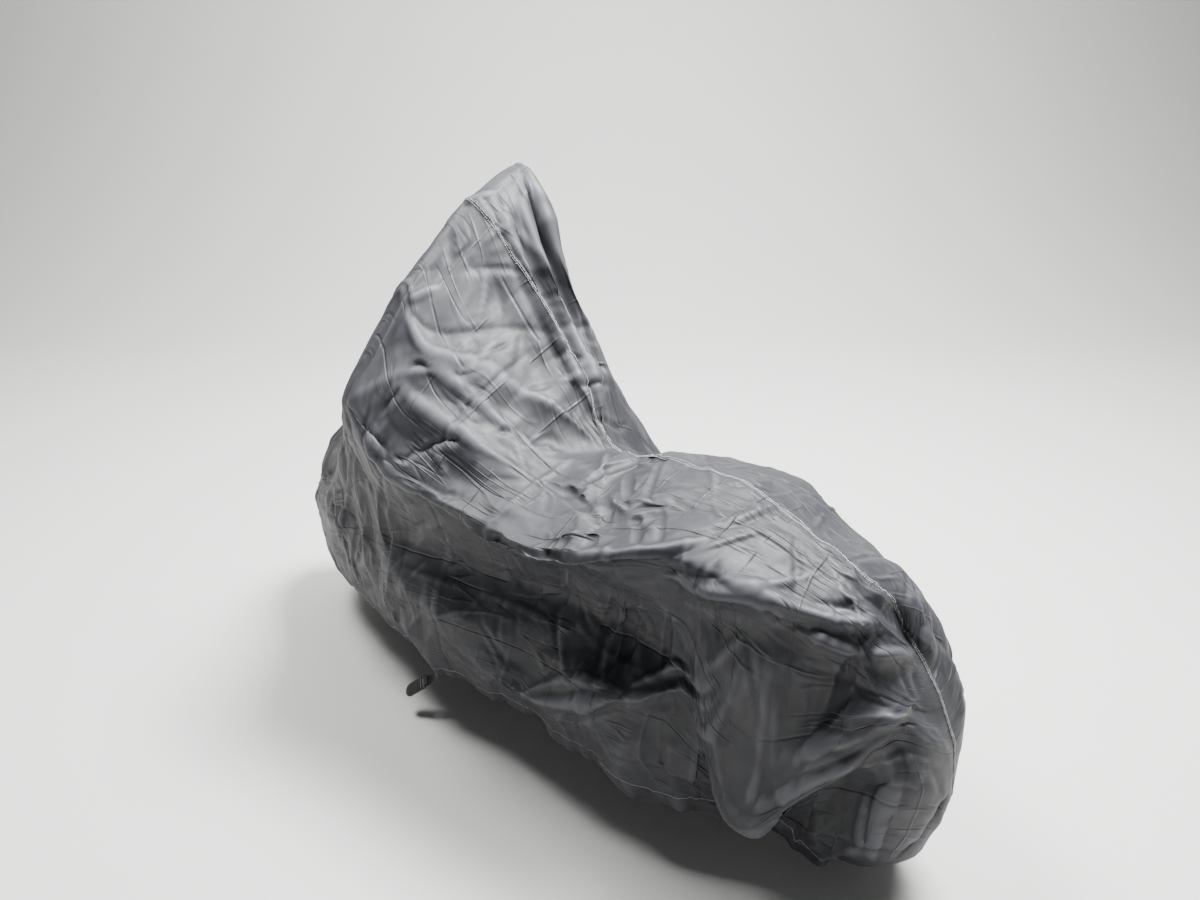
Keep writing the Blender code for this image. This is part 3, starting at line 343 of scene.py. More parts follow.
    (4.9, 3.7, 3.8, 3.2, 3, 2, 7, 20), (4.3, 3, 3.9, 2, 4.1, 0.8, -5, 20),
    (2, 5.3, 1.6, 4, 1.7, 2.2, 5, 20), (2.2, 7, 1.8, 8.2, 1.9, 10, -5, 20),
)


# ---------------------------------------------------------------- sizes and colours
def linear(code):
    """Turn an sRGB hex colour into linear red, green and blue."""
    shades = [int(code[i:i + 2], 16) / 255 for i in (1, 3, 5)]
    return [s / 12.92 if s <= 0.04045 else ((s + 0.055) / 1.055)**2.4 for s in shades]


def number(name, description, default, kind=bpy.props.FloatProperty, **limits):
    """A property that holds a number."""
    return kind(name=name, description=description, default=default, **limits)


def length(name, description, default, **limits):
    """A length property in metres."""
    return number(name, description, default, unit="LENGTH", precision=4, **limits)


def colour(name, description, code):
    """A colour property whose default is an sRGB hex value."""
    return number(name, description, linear(code), bpy.props.FloatVectorProperty, subtype="COLOR", size=3,
                  min=0, max=1)


class CoverCloth(bpy.types.PropertyGroup):
    cell: length("Cell", "Side of one cell of the cloth while it settles", 0.018, min=0.012)
    slack: number("Slack", "Share by which the cloth is too long for its place", 0.008, min=0, max=0.1)
    hold: number("Hold", "How firmly the cloth keeps to its place", 0.25, min=0, max=1)
    settle_frames: number("Settling Steps", "Steps for which the cloth settles", 24,
                          bpy.props.IntProperty, min=1)
    settle_reach: length("Settling Reach", "Furthest that a point of the cloth may settle", 0.014, min=0)
    facet_size: length("Facet Size", "Mean distance between the corners of the crumpled facets", 0.15)
    facet_depth: length("Facet Depth", "How far those corners stand out or sink in", 0.011)
    pucker: length("Seam Pucker", "Depth of the ripples beside a seam", 0.0005)
    lap: length("Seam Lap", "Width by which the left panel laps over the right one", 0.009)
    hem_roll: length("Hem Roll", "Radius of the rolled hem round its elastic", 0.003)
    hem_depth: length("Hem Depth", "How far the hem is turned up inside", 0.020)
    gather: length("Hem Gather", "Depth of the ripples that the elastic draws in the hem", 0.002)


class CoverThread(bpy.types.PropertyGroup):
    stitch: length("Stitch", "Length of one stitch", 0.0032, min=0.001)
    gap: length("Stitch Gap", "Distance from one stitch to the next", 0.0010, min=0)
    radius: length("Thread Radius", "Radius of the sewing thread", 0.0003, min=0.0001)


class CoverStrap(bpy.types.PropertyGroup):
    place: length("Place", "Where the strap leaves the left hem, from the middle of the span", -0.31)
    reach: length("Reach", "From the hem to the bar of the buckle", 0.046)
    width: length("Width", "Width of the webbing", 0.025)
    thick: length("Thickness", "Thickness of the webbing", 0.0016)
    ribs: number("Ribs", "Ribs woven side by side into the webbing", 9, bpy.props.IntProperty, min=3)
    rib_height: length("Rib Height", "How far a rib stands above the grooves", 0.0003)
    buckle_length: length("Buckle Length", "From its bar to its rounded end", 0.062)
    buckle_width: length("Buckle Width", "Width of the moulded buckle", 0.034)
    buckle_thick: length("Buckle Thickness", "Thickness of the moulded buckle", 0.008)


class CoverColours(bpy.types.PropertyGroup):
    cloth: colour("Cloth", "Coated cloth", "#25262a")
    cloth_worn: colour("Worn Cloth", "Coating rubbed pale along ridges", "#434449")
    dust: colour("Dust", "Dry dust in the cloth", "#50504e")
    webbing: colour("Webbing", "Woven strap", "#161617")
    # pale edge colour: rubbed edge threads plus a painted highlight along the webbing's edges; on the buckle the
    # same colour marks its scuffs
    edge_sheen_and_scuff: colour("Webbing Edge", "Rubbed edge threads of the strap", "#4a4a4b")
    buckle: colour("Buckle", "Moulded buckle", "#121213")
    thread: colour("Thread", "Sewing thread", "#2f3034")
    floor: colour("Floor", "Studio floor", "#bfbebc")


class CoverStage(bpy.types.PropertyGroup):
    key: number("Key Light", "Power of the soft key light in watts", 228, min=0)
    backdrop: number("Backdrop Light", "Power of the light on the backdrop", 200, min=0)
    sky: number("Sky", "Strength of the light from all round", 0.16, min=0)
    lens: number("Lens", "Focal length on a 36 mm wide frame", 27.03, min=1, unit="CAMERA")


# ---------------------------------------------------------------- shape of the worn cloth
def ease_through(points, places, slack=1.0):
    """Read a smooth curve through evenly numbered points at the given places, without overshoot.

    A slack of 1 rounds it most, and 0 leaves straight runs from point to point.
    """
    points = np.asarray(points, float)
    places = np.clip(np.asarray(places, float), 0, len(points) - 1)
    low = np.minimum(places.astype(int), len(points) - 2)
    f = (places - low).reshape((-1,) + (1,) * (points.ndim - 1))
    steps = np.diff(points, axis=0)
    before = np.concatenate([steps[:1], steps])
    after = np.concatenate([steps, steps[-1:]])
    mean = 0.5 * (before + after)
    limit = 2 * np.minimum(np.abs(before), np.abs(after))
    slope = slack * np.where(before * after < 0, SHARP * mean, np.clip(mean, -limit, limit))
    return ((2 * f**3 - 3 * f**2 + 1) * points[low] + (f**3 - 2 * f**2 + f) * slope[low]
            + (3 * f**2 - 2 * f**3) * points[low + 1] + (f**3 - f**2) * slope[low + 1])


def side_points(table, sign):
    """Points of one side of every section, from its hem to the centre seam."""
    x_foot, x_head, bulge, top_y, top_z = np.array(SPINE).T[..., None] / MM
    side = np.array(table) / MM
    outs = np.hstack([sign * side[:, 0::2], top_y])
    heights = np.hstack([side[:, 1::2], top_z])
    t = (heights - heights[:, :1]) / (heights[:, -1:] - heights[:, :1])
    x = x_foot + (x_head - x_foot) * t - bulge * 4 * t * (1 - t)
    return np.stack([x - REST_X, outs, heights - REST_Z], axis=-1)


def control_net():
    """All section points, from the left hem over the seam to the right hem."""
    return np.hstack([side_points(LEFT, -1), side_points(RIGHT, 1)[:, -2::-1]])


def cloth_at(net, sections, levels):
    """Points of the smooth cloth on the grid of the given sections and levels.

    Past each end seam the first section of the other side carries on, which rounds the nose and the tail.
    """
    past_ends = np.concatenate([net[1:2, ::-1], net, net[-2:-1, ::-1]])
    across = ease_through(past_ends, np.asarray(sections) + 1)
    return np.swapaxes(ease_through(np.swapaxes(across, 0, 1), levels, TAUT), 0, 1)


def even_places(net, axis, cell):
    """Places along one axis of the net that cut the cloth into cells of about the same length."""
    runs = np.linalg.norm(np.diff(net, axis=axis), axis=-1).mean(axis=1 - axis)
    places = [0.0]
    for k, run in enumerate(runs):
        count = max(2, round(run / cell))
        places += [k + (i + 1) / count for i in range(count)]
    return np.array(places)


def run_along(points):
    """Length in metres along a row of points, up to each of them."""
    return np.concatenate([[0], np.cumsum(np.linalg.norm(np.diff(points, axis=0), axis=-1))])


def spread(cloth):
    """Mean lengths in metres along the sections and along the levels, up to each row and column."""
    lengths = []
    for axis in (0, 1):
        runs = np.linalg.norm(np.diff(cloth, axis=axis), axis=-1).mean(axis=1 - axis)
        lengths.append(np.concatenate([[0], np.cumsum(runs)]))
    return lengths


def fade_ends(place, total, reach):
    """Rise from 0 to 1 over the reach from either end."""
    return np.clip(np.minimum(place, total - place) / reach, 0, 1)


def fade_out(distance, reach):
    """Fall from 1 to 0 over the reach."""
    return np.clip(1 - distance / reach, 0, 1)


def ripple_wave(place, pitch, drift, sway):
    """A wave whose pitch drifts, so that no two ripples are alike."""
    return np.sin(TURN * place / pitch + sway * np.sin(TURN * place / drift))


def cloth_normals(cloth):
    """Outward unit normals of the grid, with the halves joined where they share the end seams."""
    face = np.cross(cloth[1:, 1:] - cloth[:-1, :-1], cloth[:-1, 1:] - cloth[1:, :-1])
    normals = np.zeros_like(cloth)
    for rows in (slice(None, -1), slice(1, None)):
        for columns in (slice(None, -1), slice(1, None)):
            normals[rows, columns] += face
    for end in (0, -1):
        normals[end] = normals[end] + normals[end, ::-1]
    return normals / np.linalg.norm(normals, axis=-1, keepdims=True)


def raised(cloth, lift):
    """The cloth with each point moved out along its normal."""
    return cloth + lift[..., None] * cloth_normals(cloth)


def line_lift(line, cloth, half_width, form):
    """How strongly a fold along the line lifts each point of the cloth, from 0 to 1."""
    flat = cloth.reshape(-1, 3)
    lift = np.zeros(len(flat))
    near = np.flatnonzero(np.all((flat > line.min(0) - half_width) & (flat < line.max(0) + half_width), axis=1))
    points = flat[near]
    nearest = np.full(len(near), np.inf)
    along = np.zeros(len(near))
    for k in range(FOLD_STEPS):
        run = line[k + 1] - line[k]
        share = np.clip(((points - line[k]) @ run) / max(run @ run, 1e-12), 0, 1)
        distance = np.linalg.norm(points - line[k] - share[:, None] * run, axis=-1)
        closer = distance < nearest
        nearest = np.where(closer, distance, nearest)
        along = np.where(closer, (k + share) / FOLD_STEPS, along)
    fade = fade_ends(along, 1, FOLD_FADE)
    away = np.hypot(nearest, form.rounding) - form.rounding
    lift[near] = fade * fade_out(away, half_width * (FOLD_TIP + (1 - FOLD_TIP) * fade))**form.crest
    return lift.reshape(cloth.shape[:2])


def lift_folds(net, cloth, smooth, table, form):
    """Raise each ridge and sink each trough along the normals, following its line on the smooth cloth."""
    lift = np.zeros(cloth.shape[:2])
    for *turns, rise, half_width in table:
        course = ease_through(np.reshape(turns, (3, 2)), np.linspace(0, 2, FOLD_STEPS + 1))
        line = np.array([cloth_at(net, [section], [level])[0, 0] for section, level in course])
        lift += form.share * (rise / MM) * line_lift(line, smooth, form.narrow * (half_width / MM), form)
    return raised(cloth, lift)


def halve(places):
    """Put a place halfway between neighbours."""
    middles = (places[:-1] + places[1:]) / 2
    return np.insert(places, np.arange(1, len(places)), middles)


def fill_rows(grid, before, after):
    """Put a row halfway between neighbours, on the smooth curve through four of them."""
    ahead = np.concatenate([before, grid, after])
    filled = np.empty((2 * len(grid) - 1,) + grid.shape[1:])
    filled[0::2] = grid
    filled[1::2] = (9 * (ahead[1:-2] + ahead[2:-1]) - ahead[:-3] - ahead[3:]) / 16
    return filled


def double(grid):
    """Divide the cells of the grid in two both ways."""
    rows = fill_rows(grid, grid[1:2, ::-1], grid[-2:-1, ::-1])
    turned = np.swapaxes(rows, 0, 1)
    columns = fill_rows(turned, 2 * turned[:1] - turned[1:2], 2 * turned[-1:] - turned[-2:-1])
    return np.ascontiguousarray(np.swapaxes(columns, 0, 1))


def quads(*corners):
    """Faces from the grids of their four corners."""
    return np.stack(corners, axis=-1).reshape(-1, 4)


def place_object(name, data):
    """Add an object to the scene."""
    item = bpy.data.objects.new(name, data)
    bpy.context.scene.collection.objects.link(item)
    return item


def settle(cloth, sizes):
    """Let the slack cloth buckle and sag a little round its place."""
    rows, columns = cloth.shape[:2]
    index = np.arange(rows * columns).reshape(rows, columns)
    half = columns // 2
    for end in (0, -1):
        index[end, :half:-1] = index[end, :half]
    used, packed = np.unique(index, return_inverse=True)
    packed = packed.reshape(rows, columns)
    mesh = bpy.data.meshes.new("settling cloth")
    start = cloth.reshape(-1, 3)[used]
    faces = quads(packed[:-1, :-1], packed[1:, :-1], packed[1:, 1:], packed[:-1, 1:])
    mesh.from_pydata(start.tolist(), [], faces.tolist())
    piece = place_object("settling cloth", mesh)
    piece.vertex_groups.new(name="hold").add(list(range(len(used))), sizes.hold, "REPLACE")
    step = piece.modifiers.new("cloth", "CLOTH")
    step.collision_settings.use_collision = False
    step.point_cache.frame_start = 1
    step.point_cache.frame_end = sizes.settle_frames
    fabric = step.settings
    fabric.quality = 5
    fabric.mass = 0.02
    fabric.tension_stiffness = fabric.compression_stiffness = fabric.shear_stiffness = 20
    fabric.bending_stiffness = 0.02
    fabric.tension_damping = fabric.compression_damping = fabric.shear_damping = 5
    fabric.vertex_group_mass = "hold"
    fabric.pin_stiffness = 1.0
    fabric.shrink_min = -sizes.slack
    fabric.effector_weights.gravity = 0.3
    for frame_number in range(1, sizes.settle_frames + 1):
        bpy.context.scene.frame_set(frame_number)
    settled = piece.evaluated_get(bpy.context.evaluated_depsgraph_get()).to_mesh()
    moved = read_vectors(settled.vertices, "co") - start
    bpy.data.objects.remove(piece, do_unlink=True)
    far = np.linalg.norm(moved, axis=-1, keepdims=True)
    moved *= np.minimum(1, sizes.settle_reach / np.maximum(far, 1e-9))
    return (start + moved)[packed]


def broaden(shift, passes):
    """Spread a displacement over its neighbours, so that only its broad waves stay."""
    for _ in range(passes):
        for axis in (0, 1):
            grid = np.swapaxes(shift, 0, axis)
            grid = np.concatenate([grid[:1], (grid[:-2] + 2 * grid[1:-1] + grid[2:]) / 4, grid[-1:]])
            shift = np.swapaxes(grid, 0, axis)
    return shift


def window(along, across, low, high):
    """The rows and columns that lie between two corners."""
    return slice(*np.searchsorted(along, (low[0], high[0]))), slice(*np.searchsorted(across, (low[1], high[1])))


def facet_lift(along, across, size, depth, rng):
    """Heights of crumpled cloth: flat facets between corners that lie at irregular places and heights."""
    places = []
    for i in range(int(along[-1] / size) + 3):
        for j in range(int(across[-1] / size) + 3):
            shift = rng.uniform(-FACET_STRAY, FACET_STRAY, 2)
            places.append(Vector((i - 0.5 + 0.5 * (j % 2) + shift[0], j - 0.5 + shift[1])) * size)
    corners, _, facets = delaunay_2d_cdt(places, [], [], 0, 1e-6)[:3]
    heights = rng.uniform(-depth, depth, len(corners))
    lift = np.zeros((len(along), len(across)))
    for a, b, c in facets:
        three = [corners[a], corners[b], corners[c]]
        rows, columns = window(along, across, np.min(three, axis=0), np.max(three, axis=0))
        out = along[rows, None] - corners[a].x
        up = across[None, columns] - corners[a].y
        one = corners[b] - corners[a]
        two = corners[c] - corners[a]
        turn = one.cross(two)
        s = (out * two.y - up * two.x) / turn
        t = (up * one.x - out * one.y) / turn
        inside = (s >= 0) & (t >= 0) & (s + t <= 1)
        height = heights[a] + s * (heights[b] - heights[a]) + t * (heights[c] - heights[a])
        lift[rows, columns][inside] = height[inside]
    return lift


def line_creases(along, across, lines):
    """Heights of straight creases, each from a start to an end in metres over the cloth."""
    lift = np.zeros((len(along), len(across)))
    for start, end, rise, half_width in lines:
        rows, columns = window(along, across, np.minimum(start, end) - half_width,
                               np.maximum(start, end) + half_width)
        points = np.stack(np.meshgrid(along[rows], across[columns], indexing="ij"), axis=-1)
        run = end - start
        share = np.clip((points - start) @ run / (run @ run), 0, 1)
        distance = np.linalg.norm(points - start - share[..., None] * run, axis=-1)
        lift[rows, columns] += (rise * fade_ends(share, 1, FOLD_FADE)
                                * fade_out(distance, half_width)**CREASE_FORM.crest)
    return lift


def small_creases(along, across, rng):
    """Short creases at random, and the long straight lines in which the cover lay folded when packed."""
    extent = np.array((along[-1], across[-1]))
    lines = []
    for _ in range(SMALL_CREASES):
        start = rng.uniform(0, 1, 2) * extent
        turn = rng.uniform(0, math.pi)
        reach = rng.uniform(*SMALL_LENGTH)
        end = start + reach * np.array((math.cos(turn), math.sin(turn)))
        lines.append((start, end, rng.choice((-1, 1)) * rng.uniform(*SMALL_RISE), rng.uniform(*SMALL_WIDTH)))
    for axis in (0, 1):
        count = int(extent[axis] / PACKED_PITCH)
        stretches = int(extent[1 - axis] / PACKED_PITCH)
        for k in range(1, count + 1):
            place = (k + rng.uniform(*PACKED_DRIFT)) * extent[axis] / (count + 1)
            rise = PACKED_RISE * (1 if k % 2 else -1)
            for i in range(stretches):
                start = np.empty(2)
                start[axis] = place + rng.uniform(*PACKED_STRAY)
                start[1 - axis] = i * extent[1 - axis] / stretches
                end = start.copy()
                end[1 - axis] += extent[1 - axis] / stretches * rng.uniform(*PACKED_STRETCH)
                lines.append((start, end, rise * rng.uniform(*PACKED_DEPTH), PACKED_WIDTH))
    return line_creases(along, across, lines)


def crumple(cloth, sizes, rng):
    """Add facets and small creases, strong in some places and faint in others, and none at the end seams."""
    along, across = spread(cloth)
    lift = np.zeros((len(along), len(across)))
    for size, depth in FACETS:
        lift += facet_lift(along, across, size * sizes.facet_size, depth * sizes.facet_depth, rng)
    strength = rng.uniform(*CRUMPLE_STRENGTH, CRUMPLE_PATCHES)
    strength[TAIL_PATCHES] *= TAIL_STRENGTH
    strength[TAUT_PATCHES] *= TAUT_STRENGTH
    for count in (len(along), len(across)):
        strength = ease_through(strength, np.linspace(0, len(strength) - 1, count)).T
    lift = lift * strength + small_creases(along, across, rng)
    return raised(cloth, lift * fade_ends(along, along[-1], END_REACH)[:, None])


def pucker_seams(cloth, sizes):
    """Draw the cloth into small ripples beside the seam, which itself lies in a shallow groove."""
    along, across = spread(cloth)
    from_centre = np.abs(across - across[cloth.shape[1] // 2])[None, :]
    from_end = np.minimum(along, along[-1] - along)[:, None]
    away = np.minimum(from_centre, from_end)
    place = np.where(from_end < from_centre, -from_centre, along[:, None])
    ripple = sizes.pucker * ripple_wave(place, PUCKER_PITCH, PUCKER_DRIFT, 2.1) * fade_out(away, PUCKER_REACH)
    return raised(cloth, ripple - GROOVE_DEPTH * sizes.pucker * fade_out(away, GROOVE_REACH))


def gather_hems(cloth, sizes):
    """Ripple both hems as their elastic gathers them, in broad waves and in small ones."""
    normals = cloth_normals(cloth)
    rippled = cloth.copy()
    across = spread(cloth)[1]
    for hem, rise in ((0, across), (-1, across[-1] - across)):
        place = run_along(cloth[:, hem])
        for depth, pitch, drift, reach in (HEM_WAVE, (sizes.gather, *HEM_RIPPLE)):
            wave = ripple_wave(place, pitch, drift, 1.4) * fade_ends(place, place[-1], HEM_WAVE[1])
            fade = fade_out(rise, reach)**1.5
            rippled += depth * (wave[:, None] * fade[None, :])[..., None] * normals
    return rippled


def worn_cloth(sizes):
    """The outer face of the whole cover as one grid, with the centre seam in its middle column."""
    rng = np.random.default_rng(CRUMPLE_SEED)
    net = control_net()
    sections = even_places(net, 0, sizes.cell)
    half = even_places(net[:, :SEAM_LEVEL + 1], 1, sizes.cell)
    levels = np.concatenate([half, 2 * SEAM_LEVEL - half[-2::-1]])
    smooth = cloth_at(net, sections, levels)
    hung = lift_folds(net, smooth, smooth, FOLDS, FOLD_FORM)
    sag = broaden(settle(hung, sizes) - hung, SAG_PASSES)
    for _ in range(DOUBLINGS):
        sag = double(sag)
        sections = halve(sections)
        levels = halve(levels)
    smooth = cloth_at(net, sections, levels)
    cloth = lift_folds(net, smooth, smooth, FOLDS, FOLD_FORM) + sag
    cloth = lift_folds(net, cloth, smooth, CREASES, CREASE_FORM)
    cloth = crumple(cloth, sizes, rng)
    cloth = pucker_seams(cloth, sizes)
    return gather_hems(cloth, sizes)


# ---------------------------------------------------------------- meshes
def read_vectors(items, name):
    """Read a vector of every vertex into an array."""
    flat = np.empty(len(items) * 3)
    items.foreach_get(name, flat)
    return flat.reshape(-1, 3)


def add_piece(name, vertices, faces, material):
    """Make a smooth mesh piece that rides on the frame."""
    old = bpy.data.objects.get(name)
    if old:
        bpy.data.objects.remove(old, do_unlink=True)
    mesh = bpy.data.meshes.new(name)
    mesh.from_pydata(vertices.tolist(), [], faces.tolist() if isinstance(faces, np.ndarray) else faces)
    mesh.shade_smooth()
    mesh.materials.append(material)
    piece = place_object(name, mesh)
    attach(piece, "root")
    return piece


def lay_uv(mesh, places):
    """Lay the weave out in metres, so that its threads follow the cloth."""
    layer = mesh.uv_layers.new(name="weave")
    corners = np.empty(len(mesh.loops), int)
    mesh.loops.foreach_get("vertex_index", corners)
    layer.data.foreach_set("uv", np.asarray(places)[corners].ravel())


def inward(grid, distance):
    """Points at a distance from the first column of the grid, measured along its rows."""
    step = np.linalg.norm(grid[:, 1, :3] - grid[:, 0, :3], axis=-1)
    place = np.clip(distance / step, 0, grid.shape[1] - 1.001)
    low = place.astype(int)
    f = (place - low)[:, None]
    row = np.arange(len(grid))
    return grid[row, low] * (1 - f) + grid[row, low + 1] * f


def seam_ribbon(grid):
    """The cloth beside the seam of a panel whose hem is its first column.

    The path runs up the nose seam, along the centre seam and down the tail seam; each of its rows holds the
    points from the seam into the panel.
    """
    last = grid.shape[1] - 1
    path = [grid[:RIBBON, j] for j in range(last)]
    path.append(np.array([grid[k, last - k] for k in range(RIBBON)]))
    path += [grid[i, last:last - RIBBON:-1] for i in range(1, len(grid) - 1)]
    path.append(np.array([grid[-1 - k, last - k] for k in range(RIBBON)]))
    path += [grid[:-1 - RIBBON:-1, j] for j in range(last - 1, -1, -1)]
    return np.array(path)


def seam_path(rows, columns, start):
    """Vertex numbers along the same path, in a grid whose first columns are the casing."""
    last = columns - 1
    path = [j for j in range(start, last)]
    path += [i * columns + last for i in range(rows)]
    path += [(rows - 1) * columns + j for j in range(last - 1, start - 1, -1)]
    return np.array(path)


def hem_casing(outer, normals, sizes):
    """The hem turned up inside: rolled round the elastic, then flat against the cloth to its stitches."""
    edge = outer[:, 0]
    down = edge - outer[:, 1]
    down /= np.linalg.norm(down, axis=-1, keepdims=True)
    roll = sizes.hem_roll
    columns = [edge + down * roll * math.sin(a) - normals[:, 0] * roll * (1 - math.cos(a))
               for a in np.linspace(math.pi / CASING_TURN, math.pi, CASING_TURN)]
    both = np.concatenate([outer, normals], axis=-1)
    for share in (0.25, 0.5, 0.75, 1.0):
        beside = inward(both, share * sizes.hem_depth)
        columns.append(beside[:, :3] - beside[:, 3:] * (2 * roll * (1 - share) + CLOTH_LAYER))
    return np.stack(columns[::-1], axis=1)


def wear_of(outer, normals):
    """How much each point stands out from its neighbours, from 0 in the flat to 1 on a sharp ridge."""
    padded = np.pad(outer, ((2, 2), (2, 2), (0, 0)), mode="edge")
    mean = (padded[4:, 2:-2] + padded[:-4, 2:-2] + padded[2:-2, 4:] + padded[2:-2, :-4]) / 4
    proud = np.sum((outer - mean) * normals, axis=-1)
    proud[:2] = proud[-2:] = 0
    proud[:, :2] = proud[:, -2:] = 0
    return np.clip(proud / WEAR_PROUD, 0, 1)


def build_panel(name, outer, normals, flip, material, sizes, ribbon=None):
    """One half of the cover: its outer face, its hem turned up inside, and where given its seam lap."""
    casing = hem_casing(outer, normals, sizes)
    grid = np.concatenate([casing, outer], axis=1)
    rows, columns = grid.shape[:2]
    folded = casing.shape[1]
    index = np.arange(rows * columns).reshape(rows, columns)
    corners = [index[:-1, :-1], index[1:, :-1], index[1:, 1:], index[:-1, 1:]]
    faces = quads(*(corners[::-1] if flip else corners))
    along, across = spread(outer)
    turned = -np.arange(folded, 0, -1) * sizes.hem_depth / folded
    places = np.stack(np.meshgrid(along, np.concatenate([turned, across]), indexing="ij"), axis=-1).reshape(-1, 2)
    wear = np.concatenate([np.zeros((rows, folded)), wear_of(outer, normals)], axis=1).ravel()
    vertices = grid.reshape(-1, 3)
    if ribbon is not None:
        path = seam_path(rows, columns, folded)
        strips = [path]
        for share, rise in LAP_STEPS:
            beside = inward(ribbon, share * sizes.lap)
            strips.append(len(vertices) + np.arange(len(path)))
            vertices = np.concatenate([vertices, beside[:, :3] + beside[:, 3:] * rise * CLOTH_LAYER])
            places = np.concatenate([places, places[path] + (0, share * sizes.lap)])
            wear = np.concatenate([wear, np.full(len(path), LAP_WEAR)])
        strips = np.array(strips)
        faces = np.concatenate([faces, quads(strips[:-1, :-1], strips[:-1, 1:], strips[1:, 1:], strips[1:, :-1])])
    piece = add_piece(name, vertices, faces, material)
    lay_uv(piece.data, places)
    piece.data.attributes.new("wear", "FLOAT", "POINT").data.foreach_set("value", wear)
    piece["grid"] = (rows, columns, folded)
    return piece


def panel_grid(piece):
    """Points and normals of a panel's outer face, hem first."""
    vertices = piece.data.vertices
    rows, columns, folded = piece["grid"]
    both = np.concatenate([read_vectors(vertices, "co"), read_vectors(vertices, "normal")], axis=-1)
    return both[:rows * columns].reshape(rows, columns, 6)[:, folded:]


def stitches_along(path, thread):
    """Vertices and faces of the stitches along a path of points with normals."""
    place = run_along(path[:, :3])
    starts = np.arange(0.004, place[-1] - 0.006, thread.stitch + thread.gap)
    marks = starts[:, None] + np.array((0, 0.2, 0.8, 1.0)) * thread.stitch
    points = np.stack([np.interp(marks, place, path[:, k]) for k in range(6)], axis=-1)
    centre, up = points[..., :3], points[..., 3:]
    run = centre[:, -1:] - centre[:, :1]
    run = run / np.maximum(np.linalg.norm(run, axis=-1, keepdims=True), 1e-9)
    side = np.cross(up, run)
    side /= np.maximum(np.linalg.norm(side, axis=-1, keepdims=True), 1e-9)
    turns = np.linspace(0, TURN, STITCH_SIDES, endpoint=False)
    thick = thread.radius * np.array((0.4, 1, 1, 0.4))[None, :, None, None]
    sink = thread.radius * np.array((-0.8, 0.5, 0.5, -0.8))[None, :, None]
    ring = np.cos(turns)[:, None] * side[..., None, :] + np.sin(turns)[:, None] * up[..., None, :]
    vertices = (centre + up * sink)[..., None, :] + ring * thick
    numbers = np.arange(vertices.size // 3).reshape(vertices.shape[:3])
    ahead = np.roll(numbers, -1, axis=2)
    return vertices.reshape(-1, 3), quads(numbers[:, :-1], ahead[:, :-1], ahead[:, 1:], numbers[:, 1:])


def sew(name, paths, thread, material):
    """Join the stitches along several paths into one piece."""
    vertices = []
    faces = []
    for path in paths:
        points, around = stitches_along(path, thread)
        faces.append(around + sum(len(earlier) for earlier in vertices))
        vertices.append(points)
    return add_piece(name, np.concatenate(vertices), np.concatenate(faces), material)


def loft(rings):
    """Vertices and faces of closed rings joined one to the next, with both ends closed."""
    rings = np.asarray(rings)
    numbers = np.arange(rings[..., 0].size).reshape(rings.shape[:2])
    ahead = np.roll(numbers, -1, axis=1)
    around = quads(numbers[:-1], ahead[:-1], ahead[1:], numbers[1:]).tolist()
    return rings.reshape(-1, 3), around + [numbers[0, ::-1].tolist(), numbers[-1].tolist()]


def join_solids(solids):
    """Put several solids into one list of vertices and faces."""
    vertices = []
    faces = []
    for points, around in solids:
        faces += [[k + len(vertices) for k in face] for face in around]
        vertices += points.tolist()
    return np.array(vertices), faces


# ---------------------------------------------------------------- strap end
def strap_course(grid, strap):
    """Middle line and width directions of the webbing, and the frame and place of the buckle's bar."""
    hem = grid[:, 0, :3]
    i = int(np.argmin(np.abs(hem[:, 0] + REST_X - strap.place)))
    hem_point = Vector(hem[i])
    along_hem = Vector(hem[i + 2] - hem[i - 2]).normalized()
    down = Vector(hem[i] - grid[i, 3, :3])
    down = (down - down.project(along_hem)).normalized()
    course = Vector(STRAP_COURSE).normalized()
    width = (along_hem - along_hem.project(course)).normalized()
    face = width.cross(course)
    bar = hem_point + course * strap.reach
    lift = BAR_RADIUS + strap.thick
    start = hem_point - down * STRAP_SEWN
    landing = bar - course * STRAP_RETURN + face * lift
    hold = (landing - start).length
    points = []
    widths = []
    for k in range(STRAP_STEPS + 1):
        t = k / STRAP_STEPS
        ease = 3 * t**2 - 2 * t**3
        points.append(start * (1 - ease) + down * hold * (t**3 - 2 * t**2 + t)
                      + landing * ease + course * hold * (t**3 - t**2))
        widths.append(along_hem.lerp(width, ease).normalized())
    for k in range(STRAP_STEPS + 1):
        turn = math.pi * k / STRAP_STEPS
        points.append(bar + face * lift * math.cos(turn) + course * lift * math.sin(turn))
    for share in (0.35, 0.7, 1.0):
        points.append(bar - face * (lift - strap.thick * share) - course * STRAP_RETURN * share)
    widths += [width] * (len(points) - len(widths))
    return points, widths, Matrix((course, width, face)).transposed(), bar


def webbing_section(strap):
    """Outline of the ribbed webbing: across its width, and out from its middle."""
    steps = 4 * strap.ribs
    top = []
    for k in range(steps + 1):
        across = -1 + 2 * k / steps
        rib = strap.rib_height * (0.5 - 0.5 * math.cos(TURN * strap.ribs * (across + 1) / 2))
        edge = math.sqrt(max(0.0, 1 - abs(across)**12))
        top.append((across * strap.width / 2, (strap.thick / 2 - strap.rib_height + rib) * edge))
    return np.array(top + [(across, -out) for across, out in top[-2:0:-1]])


def webbing_rings(points, widths, section):
    """The section of the webbing set across its course."""
    rings = []
    for k, (point, width) in enumerate(zip(points, widths)):
        run = points[min(k + 1, len(points) - 1)] - points[max(k - 1, 0)]
        across = (width - width.project(run)).normalized()
        out = across.cross(run).normalized()
        rings.append(np.array(point) + section[:, :1] * np.array(across) + section[:, 1:] * np.array(out))
    return rings


